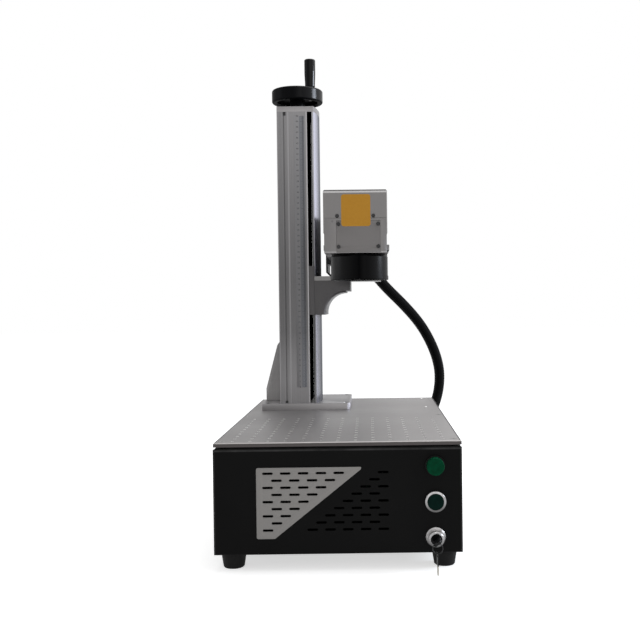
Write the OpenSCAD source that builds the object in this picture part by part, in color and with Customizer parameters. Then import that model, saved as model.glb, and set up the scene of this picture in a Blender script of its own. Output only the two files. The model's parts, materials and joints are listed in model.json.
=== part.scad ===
// Bench laser marking machine: a black sheet-metal cabinet with a drilled worktop, a lift
// column with a handwheel and lead screw, and a scan head carried on an arm.
// Millimetres, Z up. The origin is on the floor, in the middle of the machine's footprint.

/* [Cabinet] */
// Width of the cabinet
cab_w = 350; // [330:5:400]
// Depth of the cabinet, front to back
cab_d = 600; // [590:5:700]
// Height of the cabinet panels
cab_h = 150; // [145:5:200]
// Thickness of the panel sheet
sheet_t = 1.5; // [1:0.1:2]
// Thickness of the floor sheet
floor_t = 2; // [1.5:0.1:3]
// Outer radius of the panel bends
bend_r = 3; // [2.5:0.1:4]
// Width of the folded edges at the front and back
end_flange = 12; // [10:0.5:14]
// Width of the folded edges along the sides
side_flange = 20; // [18:0.5:26]
// Height of the rubber feet
foot_h = 23; // [15:1:40]
// Diameter of a foot at the cabinet
foot_top_d = 36; // [30:1:44]
// Diameter of a foot at the floor
foot_bottom_d = 30; // [24:1:36]
// Distance from the cabinet's sides to a foot's centre
foot_inset = 24; // [22:1:40]

/* [Worktop] */
// Thickness of the worktop plate
top_t = 6; // [5:0.5:10]
// Height of the gasket between the cabinet and the worktop
gasket_t = 2; // [1:0.1:3]
// How far the worktop is set back at the front and the back
top_inset = 3; // [1:0.5:5]
// Chamfer along the worktop's top edges
top_chamfer = 1.2; // [0.5:0.1:2]
// Distance between neighbouring fixture holes
hole_pitch = 25; // [23:0.5:26]
// Core diameter of the fixture holes
hole_d = 5; // [4:0.1:6.8]
// Number of fixture holes across
hole_cols = 13; // [9:2:13]
// Number of fixture holes front to back
hole_rows = 11; // [5:1:11]
// Distance from the cabinet's front to the first row of holes
hole_front = 18; // [15:1:24]

/* [Vents] */
// Length of a vent slot
slot_l = 15; // [12:0.5:17]
// Width of a vent slot
slot_w = 3.4; // [2.5:0.1:4.5]
// Distance between the rows of slots
slot_pitch = 10; // [8:0.5:10.5]
// Number of rows of slots
slot_rows = 9; // [5:2:9]
// Thickness of the pale trim plate round half of the slots
trim_t = 1.5; // [1:0.1:3]
// Height of the trim plate
trim_h = 100; // [100:1:106]
// Width of the trim plate along its top edge
trim_top_w = 147.5; // [147:0.5:152]
// Width of the trim plate along its bottom edge
trim_bottom_w = 25.5; // [25:0.5:30]

/* [Controls] */
// Distance from the cabinet's side to the row of controls
ctl_inset = 38; // [35:1:41]
// Distance from the cabinet's top to the indicator lamp
ctl_drop = 26.5; // [25:0.5:28]
// Distance between neighbouring controls
ctl_pitch = 50.5; // [48:0.5:52]
// Diameter of the panel holes of the controls
ctl_hole_d = 22.4; // [22.2:0.1:23]
// Diameter of the button's bright ring
button_ring_d = 30; // [28:0.5:32]
// Diameter of the button's cap
button_cap_d = 23; // [21:0.5:23]
// How far the button travels
button_travel = 3; // [2:0.5:4]
// Diameter of the indicator lamp's lens
lamp_d = 25; // [23:0.5:26]
// Diameter of the key switch's outer ring
key_ring_d = 28; // [27:0.5:30]
// Length of a key's plastic head
key_head_l = 19.5; // [17:0.5:20]

/* [Column] */
// Height of the column extrusion
col_h = 537.5; // [500:0.5:600]
// Width of the column, front to back
col_w = 112; // [108:1:114]
// Depth of the column extrusion
col_depth = 55.6; // [55:0.1:57]
// Wall of the column at its sides
col_wall = 6; // [5:0.5:7]
// Wall of the column at its back
col_back_wall = 12; // [12:0.5:12.5]
// Width of the slots that the carriage runs in
slide_slot = 8; // [8:0.5:9]
// Depth of the column cover at its edges
cover_edge = 4; // [4:0.5:5]
// How far the middle of the column cover stands out
cover_bulge = 8; // [6:0.5:8]
// Thickness of the column cap
cap_t = 10; // [10:0.5:14]
// Thickness of the column's base plate
base_t = 12; // [10:0.5:16]
// Width of the base plate
base_w = 162; // [156:1:166]
// Depth of the base plate, front to back
base_d = 168; // [150:1:172]
// Diameter of the lead screw
screw_d = 16; // [14:0.5:18]
// Diameter of the guide rods
rod_d = 12; // [10:0.5:12]
// Distance from the lead screw to a guide rod
rod_pitch = 31; // [31:0.5:32]

/* [Handwheel] */
// Diameter of the handwheel
wheel_d = 96; // [90:1:104]
// Height of the handwheel's rim
rim_h = 24; // [22:1:26]
// Width of the rim's section
rim_w = 10; // [9:0.5:11]
// Length of the revolving grip
grip_l = 50.7; // [45:0.1:60]
// Diameter of the grip
grip_d = 20.5; // [18:0.5:22]

/* [Carriage] */
// Height of the carriage over the column's base plate at rest
lift_rest = 163; // [160:1:170]
// Height of the carriage
carriage_h = 90; // [86:1:94]
// Thickness of the carriage's cheeks outside the column
cheek_t = 5.7; // [5:0.1:6]
// Reach of the arm bracket from the column's cover
bracket_reach = 56.4; // [55:0.1:60]
// Radius of the bracket's hollow
bracket_r = 38; // [36:1:39]
// Height of the bracket's end face under the arm plate
bracket_end_h = 19; // [18:0.5:20]
// Reach of the arm plate past the bracket's end
arm_overhang = 58; // [56:1:60]
// Thickness of the arm plate
arm_t = 8; // [7:0.5:8]

/* [Optics] */
// Width of the scan head's cover
head_w = 98.3; // [96:0.1:100]
// Reach of the scan head's front from the column's axis
head_reach = 341; // [336:1:346]
// Depth of the scan head, front to back
head_d = 116; // [112:1:120]
// Height of the scan head
head_h = 96.6; // [94:0.1:99]
// Wall of the scan head's body
head_wall = 4; // [3:0.5:4]
// Thickness of the sheet of the head's cover
cover_t = 1; // [0.8:0.1:1.2]
// Diameter of the lens barrel
lens_d = 90; // [84:1:92]
// Height of the lens barrel with its rim
lens_h = 41; // [38:0.5:44]
// Width of the optics box
box_w = 96; // [94:0.5:96]
// Length of the optics box
box_l = 300; // [300:1:301]
// Height of the optics box
box_h = 88; // [86:0.5:90]
// Wall of the optics box
box_wall = 3; // [2:0.5:4]

/* [Hose] */
// Outer diameter of the ribbed hose
hose_d = 20.6; // [18:0.1:21]
// Bore of the ribbed hose
hose_bore = 14; // [12:0.5:15]
// Number of ribs along the hose
hose_ribs = 170; // [120:5:200]

/* [Hidden] */
$fn = 64;
// Overrun of a cut past the face that it opens
over = 1;
// Clearance of pieces that are slid or dropped into place
fit = 0.3;
// Radial clearance of shafts and pins that turn or slide
run = 0.05;

// Places along Z, from the floor up
cab_z = foot_h;
cab_top = cab_z + cab_h;
worktop_z = cab_top + gasket_t;
table_z = worktop_z + top_t;
base_top = table_z + base_t;
col_top = base_top + col_h;
cap_top = col_top + cap_t;

// Places along Y: the cabinet's front and back are set so that the footprint is centred
key_bezel_t = 3;
key_cap_l = 12.5;
key_gap = 5;
front_reach = key_bezel_t + key_cap_l + key_gap + key_head_l;
gland_flange_t = 10;
gland_nut_l = 20;
gland_sleeve_l = 10;
gland_reach = gland_flange_t + gland_nut_l + gland_sleeve_l;
front_y = front_reach - (front_reach + cab_d + gland_reach) / 2;
rear_y = front_y + cab_d;

// The fixture holes
hole_y = front_y + hole_front;
hole_span_x = (hole_cols - 1) * hole_pitch;

// The column, whose axis is the lead screw's
col_back = -120;
col_rear = 136;
screw_reach = 34.5;
col_front = col_back + col_depth;
col_mid_y = rear_y - col_rear;
screw_x = col_back + screw_reach;
cover_back = col_front + slide_slot;
cover_edge_x = cover_back + cover_edge;
cover_front = cover_edge_x + cover_bulge;

// The carriage and the arm, at rest
ear_reach = 3.4;
bracket_gap = 2;
bracket_rise = 63;
carriage_z = base_top + lift_rest;
carriage_top = carriage_z + carriage_h;
web_back = col_front + 2 * fit;
web_front = cover_back - 2 * fit;
arm_w = col_w + 2 * (cheek_t + fit);
ear_front = web_front + ear_reach;
bracket_back = cover_front + bracket_gap;
bracket_front = cover_front + bracket_reach;
bracket_top = carriage_z + bracket_rise;
arm_top = bracket_top + arm_t;
arm_front = bracket_front + arm_overhang;

// The scan head and the optics box, at rest
head_x = 27;
head_lift = 26.4;
lens_inset = 45;
lens_off = 5;
head_front = col_mid_y - head_reach;
head_back = head_front + head_d;
head_z = arm_top + head_lift;
head_top = head_z + head_h;
body_w = head_w - 2 * cover_t;
lens_x = head_x + lens_off;
lens_y = head_front + lens_inset;
box_x = 24.4;
box_back = head_back + box_l;
box_z = head_z;
tail_t = 6;
tail_gland_z = 39;
tail_gland = [6, 14, 1];

// Outline of the polygon p with its corners rounded by the radii in r
arc_steps = 6;
function rounded(p, r) = [
  for (i = [0 : len(p) - 1])
    let (
      b = p[i],
      u = unit(p[(i + len(p) - 1) % len(p)] - b),
      v = unit(p[(i + 1) % len(p)] - b),
      half = acos(u * v) / 2,
      m = b + unit(u + v) * r[i] / sin(half),
      s = b + u * r[i] / tan(half) - m,
      e = b + v * r[i] / tan(half) - m,
      turn = sign(s[0] * e[1] - s[1] * e[0]) * (180 - 2 * half)
    )
    for (k = [0 : r[i] > 0 ? arc_steps : 0])
      m + turned(s, turn * k / arc_steps)
];
function unit(v) = v / norm(v);
function turned(v, a) = [v[0] * cos(a) - v[1] * sin(a), v[0] * sin(a) + v[1] * cos(a)];

// Rectangle x by y with round corners, in the middle of its place
module round_rect(x, y, r) {
  square([x - 2 * r, y], center = true);
  square([x, y - 2 * r], center = true);
  for (i = [-1, 1], j = [-1, 1])
    translate([i * (x / 2 - r), j * (y / 2 - r)])
      circle(r);
}

// Stadium outline of a slot
module slot_outline(l, w) {
  square([l - w, w], center = true);
  for (i = [-1, 1])
    translate([i * (l - w) / 2, 0])
      circle(d = w);
}

// Cylinder along -Y from the place y
module front_cylinder(x, y, z, h, d) {
  translate([x, y, z])
    rotate([90, 0, 0])
      cylinder(h = h, d = d);
}

// Socket-head screw with its head up and its seat at the origin
module cap_screw(d, l) {
  difference() {
    union() {
      cylinder(h = d, d = 1.6 * d);
      translate([0, 0, -l])
        cylinder(h = l + over / 2, d = d);
    }
    translate([0, 0, d / 2])
      cylinder(h = d, d = 0.9 * d, $fn = 6);
  }
}

// Section of a wall h high with two edges folded inwards, the wall at x = 0
module folded_section(h, flange) {
  difference() {
    wall_section(h, flange, bend_r);
    translate([sheet_t, sheet_t])
      wall_section(h - 2 * sheet_t, flange, bend_r - sheet_t);
  }
}

module wall_section(h, flange, r) {
  translate([r, 0])
    square([flange - r, h]);
  translate([0, r])
    square([r + over / 2, h - 2 * r]);
  for (y = [r, h - r])
    translate([r, y])
      circle(r);
}

// The cabinet's panels

module floor_panel() {
  inset = bend_r + fit;
  x = cab_w - 2 * inset;
  y = cab_d - 2 * inset;
  color("dimgray")
    difference() {
      translate([-x / 2, front_y + inset, cab_z + sheet_t])
        cube([x, y, floor_t]);
      feet_places()
        translate([0, 0, -over])
          cylinder(h = sheet_t + floor_t + 2 * over, d = foot_screw_d + fit);
    }
}

module side_panel(side) {
  l = cab_d - 2 * (sheet_t + fit);
  cut = end_flange + fit;
  mirror([side > 0 ? 1 : 0, 0, 0])
    difference() {
      translate([-cab_w / 2, rear_y - sheet_t - fit, cab_z])
        rotate([90, 0, 0])
          linear_extrude(l)
            folded_section(cab_h, side_flange);
      for (y = [front_y, rear_y - cut])
        translate([sheet_t - cab_w / 2, y, cab_z - over])
          cube([side_flange, cut, cab_h + 2 * over]);
      worktop_screw_places()
        cylinder(h = 4 * top_t, d = top_screw_d + fit, center = true);
      feet_places()
        translate([0, 0, -over])
          cylinder(h = sheet_t + 2 * over, d = foot_screw_d + fit);
    }
}

module side_panels() {
  color([0.11, 0.11, 0.12])
    for (side = [-1, 1])
      side_panel(side);
}

// Wall across the cabinet, with folded edges that end short of the side panels
module end_panel() {
  translate([-cab_w / 2, 0, cab_z])
    rotate([90, 0, 90])
      linear_extrude(cab_w)
        folded_section(cab_h, end_flange);
}

module end_trim() {
  for (i = [-1, 1])
    translate([i * cab_w / 2, sheet_t + end_flange / 2 + over, cab_z + cab_h / 2])
      cube([2 * (sheet_t + fit), end_flange + 2 * over, cab_h + 2 * over], center = true);
}

module front_panel() {
  color([0.11, 0.11, 0.12])
    difference() {
      translate([0, front_y, 0])
        difference() {
          end_panel();
          end_trim();
        }
      translate([0, front_y + sheet_t + over, 0])
        rotate([90, 0, 0])
          linear_extrude(sheet_t + 2 * over) {
            trim_slots();
            panel_slots();
          }
      for (i = [0 : 2])
        front_cylinder(ctl_x, front_y + 2 * sheet_t, ctl_top_z - i * ctl_pitch, 4 * sheet_t, ctl_hole_d);
    }
}

// The vent slots stand in a lattice; the trim holds those left of its slanted edge
slot_step = 12.5;
slot_inset = 16;
slot_drop = 35;
trim_inset = 60.5;
trim_drop = 27;
trim_x = trim_inset - cab_w / 2;
trim_z = cab_top - trim_drop - trim_h;
slot_x = trim_x + slot_inset;
slot_top_z = cab_top - slot_drop;
trim_tip_h = 3;
trim_r = 2.5;

module slot_at(column, row) {
  translate([slot_x + column * slot_step, slot_top_z - row * slot_pitch])
    slot_outline(slot_l, slot_w);
}

module trim_slots() {
  for (row = [0 : slot_rows - 1], i = [0 : floor((slot_rows + 1 - row) / 2) - 1])
    slot_at(row % 2 + 2 * i, row);
}

module panel_slots() {
  last = slot_rows + 4;
  for (row = [0 : slot_rows - 1], i = [0 : floor(row / 2)])
    slot_at(last - row % 2 - 2 * i, row);
}

module vent_trim() {
  outline = [
    [0, 0], [trim_bottom_w, 0], [trim_top_w, trim_h - trim_tip_h],
    [trim_top_w, trim_h], [0, trim_h]
  ];
  color([0.62, 0.6, 0.59])
    translate([0, front_y, 0])
      rotate([90, 0, 0])
        linear_extrude(trim_t)
          difference() {
            translate([trim_x, trim_z])
              polygon(rounded(outline, [trim_r, trim_r, trim_r, trim_r / 2, trim_r]));
            trim_slots();
          }
}

// The rear panel carries the fan, the mains inlet and the hose's gland
fan_inset = 83;
fan_lift = 75;
fan_x = fan_inset - cab_w / 2;
fan_z = cab_z + fan_lift;
fan_size = 80;
fan_t = 25;
fan_screw_pitch = 71.5;
fan_screw_d = 4.5;
inlet_x = 30;
inlet_lift = 39;
inlet_z = cab_z + inlet_lift;
inlet_w = 27;
inlet_h = 20;
inlet_r = 3;
inlet_screw_pitch = 40;
gland_inset = 27;
gland_lift = 81;
gland_x = cab_w / 2 - gland_inset;
gland_z = cab_z + gland_lift;
gland_thread_d = 25;

module rear_panel() {
  color([0.11, 0.11, 0.12])
    difference() {
      translate([0, rear_y, 0])
        mirror([0, 1, 0])
          difference() {
            end_panel();
            end_trim();
          }
      translate([0, rear_y + over, 0])
        rotate([90, 0, 0])
          linear_extrude(sheet_t + 2 * over) {
            translate([fan_x, fan_z]) {
              circle(d = fan_size - 4);
              fan_screw_places()
                circle(d = fan_screw_d);
            }
            translate([inlet_x, inlet_z]) {
              round_rect(inlet_w + fit, inlet_h + fit, inlet_r);
              for (i = [-1, 1])
                translate([i * inlet_screw_pitch / 2, 0])
                  circle(d = inlet_screw_d);
            }
            translate([gland_x, gland_z])
              circle(d = gland_thread_d + fit);
          }
    }
}
inlet_screw_d = 3.2;

module fan_screw_places() {
  for (i = [-1, 1], j = [-1, 1])
    translate([i, j] * fan_screw_pitch / 2)
      children();
}

// Feet, screwed up into the floor
foot_screw_d = 5;
foot_pocket_d = 14;
foot_pocket_h = 12;
foot_edge_r = 3;

module feet_places() {
  for (i = [-1, 1], y = [front_y + foot_inset + 4, rear_y - foot_inset - 4])
    translate([i * (cab_w / 2 - foot_inset), y, cab_z])
      children();
}

module feet() {
  color([0.05, 0.05, 0.05])
    feet_places()
      rotate_extrude()
        difference() {
          polygon([
            [0, -foot_h], [foot_bottom_d / 2 - foot_edge_r / 2, -foot_h],
            [foot_bottom_d / 2, foot_edge_r / 2 - foot_h],
            [foot_top_d / 2, -foot_edge_r], [foot_top_d / 2, 0], [0, 0]
          ]);
          square([2 * (foot_screw_d + fit) / 2, 4 * foot_h], center = true);
          translate([0, -foot_h - over])
            square([foot_pocket_d / 2, foot_pocket_h + over]);
        }
}

module foot_screws() {
  feet_places()
    mirror([0, 0, 1])
      translate([0, 0, foot_h - foot_pocket_h])
        cap_screw(foot_screw_d, foot_h - foot_pocket_h + sheet_t + floor_t + foot_screw_d);
}

module cabinet_screws() {
  color("silver") {
    foot_screws();
    worktop_screws();
  }
}

// The worktop

top_screw_d = 5;
top_head_d = 10;
top_screw_inset = 10;
top_screw_front = 21;
top_screw_rear = 15;

module worktop_screw_places() {
  first = front_y + top_screw_front;
  last = rear_y - top_screw_rear;
  for (i = [-1, 1], y = [first, (first + last) / 2, last])
    translate([i * (cab_w / 2 - top_screw_inset), y, table_z])
      children();
}

module worktop() {
  x = cab_w;
  y = cab_d - 2 * top_inset;
  seat = (top_head_d - top_screw_d) / 2 + 2 * run;
  color([0.68, 0.67, 0.67])
    difference() {
      translate([-x / 2, front_y + top_inset, worktop_z])
        cube([x, y, top_t]);
      for (i = [-1, 1]) {
        translate([i * x / 2, 0, table_z])
          rotate([0, 45, 0])
            cube([sqrt(2) * top_chamfer, 2 * y, sqrt(2) * top_chamfer], center = true);
        translate([0, front_y + cab_d / 2 + i * y / 2, table_z])
          rotate([45, 0, 0])
            cube([2 * x, sqrt(2) * top_chamfer, sqrt(2) * top_chamfer], center = true);
      }
      for (i = [0 : hole_cols - 1], j = [0 : hole_rows - 1])
        translate([i * hole_pitch - hole_span_x / 2, hole_y + j * hole_pitch, worktop_z - over])
          cylinder(h = top_t + 2 * over, d = hole_d, $fn = 24);
      worktop_screw_places() {
        cylinder(h = 4 * top_t, d = top_screw_d + fit, center = true);
        translate([0, 0, -seat])
          cylinder(h = seat + fit, d1 = top_screw_d, d2 = top_screw_d + 2 * (seat + fit));
      }
      base_screw_places()
        cylinder(h = 2 * (base_t + top_t + over), d = base_screw_d, center = true);
    }
}

module worktop_gasket() {
  inset = top_screw_inset + top_screw_d;
  w = side_flange - inset;
  color([0.05, 0.05, 0.05])
    translate([0, front_y + cab_d / 2, cab_top])
      linear_extrude(gasket_t)
        difference() {
          square([cab_w - 2 * inset, cab_d - 2 * (end_flange - w)], center = true);
          square([cab_w - 2 * inset - 2 * w, cab_d - 2 * end_flange], center = true);
        }
}

module worktop_screws() {
  cone = (top_head_d - top_screw_d) / 2;
  worktop_screw_places()
    difference() {
      union() {
        translate([0, 0, -cone - run])
          cylinder(h = cone, d1 = top_screw_d, d2 = top_head_d);
        translate([0, 0, -top_t - gasket_t - 4 * sheet_t])
          cylinder(h = top_t + gasket_t + 4 * sheet_t - cone, d = top_screw_d);
      }
      translate([0, 0, -cone])
        cylinder(h = 2 * cone, d = top_screw_d / 2, $fn = 6);
    }
}

// The row of controls on the front panel

ctl_x = cab_w / 2 - ctl_inset;
ctl_top_z = cab_top - ctl_drop;
ctl_bezel_t = 3;
ctl_nut_d = 29;
ctl_nut_t = 5;
ctl_block = 28;
ctl_block_l = 32;
lamp_h = 10;

// Threaded neck, nut and contact block of a panel device, with a bore b from the front
module panel_device(z, b) {
  neck_l = sheet_t + ctl_nut_t;
  difference() {
    union() {
      front_cylinder(ctl_x, front_y + neck_l, z, neck_l, ctl_hole_d - fit);
      front_cylinder(ctl_x, front_y + neck_l, z, ctl_nut_t, ctl_nut_d);
      translate([ctl_x - ctl_block / 2, front_y + neck_l, z - ctl_block / 2])
        cube([ctl_block, ctl_block_l, ctl_block]);
    }
    front_cylinder(ctl_x, front_y + neck_l + ctl_block_l / 2, z, 2 * ctl_block_l, b);
  }
}

module indicator_body() {
  b = lamp_d - 2 * ctl_bezel_t - 2;
  color([0.07, 0.07, 0.07]) {
    panel_device(ctl_top_z, b);
    difference() {
      front_cylinder(ctl_x, front_y, ctl_top_z, ctl_bezel_t, lamp_d + ctl_bezel_t);
      front_cylinder(ctl_x, front_y + over, ctl_top_z, ctl_bezel_t + 2 * over, b);
    }
  }
}

module indicator_lens() {
  wall = 1.5;
  color([0.02, 0.25, 0.14])
    translate([ctl_x, front_y - ctl_bezel_t, ctl_top_z])
      rotate([90, 0, 0])
        rotate_extrude()
          difference() {
            lens_section(lamp_d / 2, lamp_h, wall);
            lens_section(lamp_d / 2 - wall, lamp_h - wall, wall / 2);
          }
}

// Half section of a flat-topped cap with a round edge
module lens_section(r, h, edge) {
  square([r - edge, h]);
  square([r, h - edge]);
  translate([r - edge, h - edge])
    circle(edge);
}

button_z = ctl_top_z - ctl_pitch;
button_ring_h = 6;
button_ring_wall = (button_ring_d - button_cap_d) / 2 - fit;
button_stem_d = 12;
button_stem_l = 16;

module button_ring() {
  bore = button_cap_d + 2 * fit;
  color([0.75, 0.75, 0.76])
    union() {
      panel_device(button_z, button_stem_d + 2 * fit);
      translate([ctl_x, front_y, button_z])
        rotate([90, 0, 0])
          rotate_extrude()
            difference() {
              union() {
                square([button_ring_d / 2 - 1, button_ring_h]);
                square([button_ring_d / 2, button_ring_h - 1]);
                translate([button_ring_d / 2 - 1, button_ring_h - 1])
                  circle(1);
              }
              translate([0, button_seat])
                square([bore / 2, button_ring_h]);
              square([button_stem_d / 2 + fit, 3 * button_ring_h], center = false);
            }
    }
}
button_seat = 1;

module button_cap() {
  face = button_ring_h - 0.5;
  color([0.03, 0.16, 0.12])
    difference() {
      union() {
        front_cylinder(ctl_x, front_y - button_seat - button_travel - fit / 2, button_z,
          face - button_seat - button_travel - fit / 2, button_cap_d);
        front_cylinder(ctl_x, front_y + button_stem_l, button_z,
          button_stem_l + button_seat + button_travel + 1, button_stem_d);
      }
      front_cylinder(ctl_x, front_y + button_stem_l + over, button_z, button_stem_l, button_stem_d / 2);
    }
}

// Return spring of the button, in the hollow of its stem
spring_wire = 0.8;
spring_turns = 6;
module button_spring() {
  r = button_stem_d / 4 - spring_wire;
  far = front_y + sheet_t + ctl_nut_t + ctl_block_l / 2;
  near = front_y + over;
  l = far - near - spring_wire;
  color("silver")
    translate([ctl_x, far - spring_wire / 2, button_z])
      rotate([90, 0, 0])
        coil(r, spring_wire / 2, l, spring_turns);
}

// Helical wire of radius w on the radius r, h high
module coil(r, w, h, turns) {
  steps = 12;
  sides = 6;
  n = turns * steps;
  points = [
    for (i = [0 : n], j = [0 : sides - 1])
      let (a = 360 * i / steps, b = 360 * j / sides)
      [(r + w * cos(b)) * cos(a), (r + w * cos(b)) * sin(a), h * i / n + w * sin(b)]
  ];
  polyhedron(points, tube_faces(n, sides), convexity = 10);
}

// Faces of a tube of n + 1 rings of the given number of sides, closed at both ends
function tube_faces(n, sides) = concat(
  [for (i = [0 : n - 1], j = [0 : sides - 1]) let (k = (j + 1) % sides)
    [i * sides + j, i * sides + k, (i + 1) * sides + k]],
  [for (i = [0 : n - 1], j = [0 : sides - 1]) let (k = (j + 1) % sides)
    [i * sides + j, (i + 1) * sides + k, (i + 1) * sides + j]],
  [for (j = [1 : sides - 2]) [0, j + 1, j]],
  [for (j = [1 : sides - 2]) [n * sides, n * sides + j, n * sides + j + 1]]
);

// The key switch, the key in it, and the spare key on a ring

key_z = ctl_top_z - 2 * ctl_pitch;
key_cap_d = 22;
key_barrel_d = 16;
key_head_w = 12;
key_head_t = 2;
key_blade_w = 6;
key_blade_t = 1.6;
key_blade_l = 12.5;
key_hole_d = 6;
key_hole_edge = 1.75;
key_turn = 45;
ring_r = 7;
ring_wire = 1.2;
key_face = front_y - key_bezel_t - key_cap_l;
key_tip = front_y - front_reach;
key_hole_y = key_tip + key_hole_d / 2 + key_hole_edge;
spare_z = key_z - 2 * ring_r - (key_hole_d - ring_wire) / 2 + fit;

module key_switch_body() {
  color([0.6, 0.6, 0.61])
    difference() {
      union() {
        panel_device(key_z, key_barrel_d + 2 * run);
        translate([ctl_x, front_y, key_z])
          rotate([90, 0, 0])
            rotate_extrude()
              polygon([
                [0, 0], [key_ring_d / 2, 0], [key_ring_d / 2, key_bezel_t / 2],
                [key_ring_d / 2 - 1.5, key_bezel_t], [key_cap_d / 2, key_bezel_t],
                [key_cap_d / 2, key_bezel_t + key_cap_l - 1.5],
                [key_cap_d / 2 - 1.5, key_bezel_t + key_cap_l],
                [0, key_bezel_t + key_cap_l]
              ]);
      }
      front_cylinder(ctl_x, front_y + ctl_block_l / 2, key_z, 2 * ctl_block_l, key_barrel_d + 2 * run);
    }
}

module key_barrel() {
  l = ctl_block_l / 2 + key_bezel_t + key_cap_l;
  color([0.08, 0.08, 0.1])
    difference() {
      front_cylinder(ctl_x, front_y + ctl_block_l / 2 - fit, key_z, l - 1, key_barrel_d);
      at_key()
        translate([0, 0, -over])
          linear_extrude(key_blade_l + 2 * over)
            square([key_blade_w + fit, key_blade_t + fit], center = true);
    }
}

// From a key's own frame, its blade tip at the origin and its head up, to the switch
module at_key() {
  translate([ctl_x, key_tip + key_head_l + key_blade_l, key_z])
    rotate([90, 0, 0])
      rotate([0, 0, key_turn])
        children();
}

// A key, blade tip at the origin, head up, flat across Y
module key_shape() {
  neck = 4;
  union() {
    translate([-key_blade_w / 2, -key_blade_t / 2, 0])
      cube([key_blade_w, key_blade_t, key_blade_l + over]);
    translate([0, key_head_t / 2, key_blade_l])
      rotate([90, 0, 0])
        linear_extrude(key_head_t)
          difference() {
            polygon(rounded([
              [-key_head_w / 3, 0], [key_head_w / 3, 0], [key_head_w / 2, neck],
              [key_head_w / 2, key_head_l], [-key_head_w / 2, key_head_l],
              [-key_head_w / 2, neck]
            ], [1, 1, 2, key_head_w / 3, key_head_w / 3, 2]));
            translate([0, key_head_l - key_hole_d / 2 - key_hole_edge])
              circle(d = key_hole_d);
          }
  }
}

module key() {
  color([0.06, 0.06, 0.07])
    at_key()
      key_shape();
}

module key_ring() {
  color("silver")
    translate([ctl_x, key_hole_y, key_z - ring_r])
      rotate([90, 0, 0])
        rotate_extrude()
          translate([ring_r, 0])
            circle(d = ring_wire, $fn = 24);
}

module spare_key() {
  color([0.06, 0.06, 0.07])
    translate([ctl_x, key_hole_y, spare_z - key_head_l - key_blade_l + key_hole_d / 2 + key_hole_edge])
      rotate([0, 0, 90])
        key_shape();
}

// What the cabinet holds

source_shares = [0.07, 0.07, 0.52, 0.41];
source_h = 72;
supply_shares = [0.07, 0.53, 0.33, 0.36];
supply_h = 50;
board_shares = [0.53, 0.6, 0.31, 0.15];
board_t = 2;
source_size = share_size(source_shares, source_h);
supply_size = share_size(supply_shares, supply_h);
board_size = share_size(board_shares, board_t);
function share_size(s, h) = [s[2] * cab_w, s[3] * cab_d, h];
function share_at(s) = [s[0] * cab_w - cab_w / 2, s[1] * cab_d + front_y, floor_top];
standoff_h = 10;
floor_top = cab_z + sheet_t + floor_t;

module laser_source() {
  fin_w = 4;
  fin_gap = 12;
  fin_h = 18;
  color([0.75, 0.75, 0.77])
    translate(share_at(source_shares))
      difference() {
        cube(source_size);
        for (x = [fin_w : fin_gap : source_size[0] - fin_gap])
          translate([x, -over, source_size[2] - fin_h])
            cube([fin_gap - fin_w, source_size[1] + 2 * over, fin_h + over]);
        translate([source_size[0] / 2, source_size[1] + over, source_size[2] / 3])
          rotate([90, 0, 0])
            cylinder(h = fin_h, d = gland_thread_d / 2);
      }
}

module electronics() {
  power_supply();
  control_board();
}

module power_supply() {
  vent = [4, 3];
  color([0.8, 0.8, 0.8])
    translate(share_at(supply_shares))
      difference() {
        cube(supply_size);
        for (y = [3 * vent[1] : 3 * vent[1] : supply_size[1] - 3 * vent[1]])
          translate([supply_size[0] / 4, y, supply_size[2] - vent[0]])
            cube([supply_size[0] / 2, vent[1], vent[0] + over]);
      }
}

module control_board() {
  pin = 6;
  part_h = 12;
  color([0.1, 0.35, 0.2])
    translate(share_at(board_shares)) {
      for (x = [pin, board_size[0] - pin], y = [pin, board_size[1] - pin])
        translate([x, y, 0])
          cylinder(h = standoff_h + over / 2, d = pin);
      translate([0, 0, standoff_h])
        cube(board_size);
      for (y = [board_size[1] / 6 : board_size[1] / 4 : board_size[1] * 0.7])
        translate([board_size[0] - 3 * pin, y, standoff_h + board_size[2] / 2])
          cube([2 * pin, board_size[1] / 6, part_h]);
      translate([board_size[0] / 4, board_size[1] / 3, standoff_h + board_size[2] / 2])
        cube([board_size[0] / 4, board_size[0] / 4, part_h / 2]);
    }
}

fan_hub_d = 32;
fan_bore = fan_size - 4;
fan_shaft_d = 4;
fan_spoke = 4;
fan_blades = 7;

module fan_frame() {
  hub_t = 3;
  color([0.08, 0.08, 0.08])
    translate([fan_x, rear_y - sheet_t, fan_z])
      rotate([90, 0, 0]) {
        difference() {
          linear_extrude(fan_t)
            difference() {
              round_rect(fan_size, fan_size, bend_r);
              circle(d = fan_bore);
              fan_screw_places()
                circle(d = fan_screw_d);
            }
        }
        translate([0, 0, fan_t - hub_t]) {
          difference() {
            cylinder(h = hub_t, d = fan_hub_d);
            translate([0, 0, -over])
              cylinder(h = hub_t + 2 * over, d = fan_shaft_d + 2 * run);
          }
          for (a = [45 : 90 : 315])
            rotate([0, 0, a])
              translate([fan_hub_d / 2 - over, -fan_spoke / 2, 0])
                cube([(fan_bore - fan_hub_d) / 2 + 2 * over, fan_spoke, hub_t]);
        }
      }
}

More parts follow.
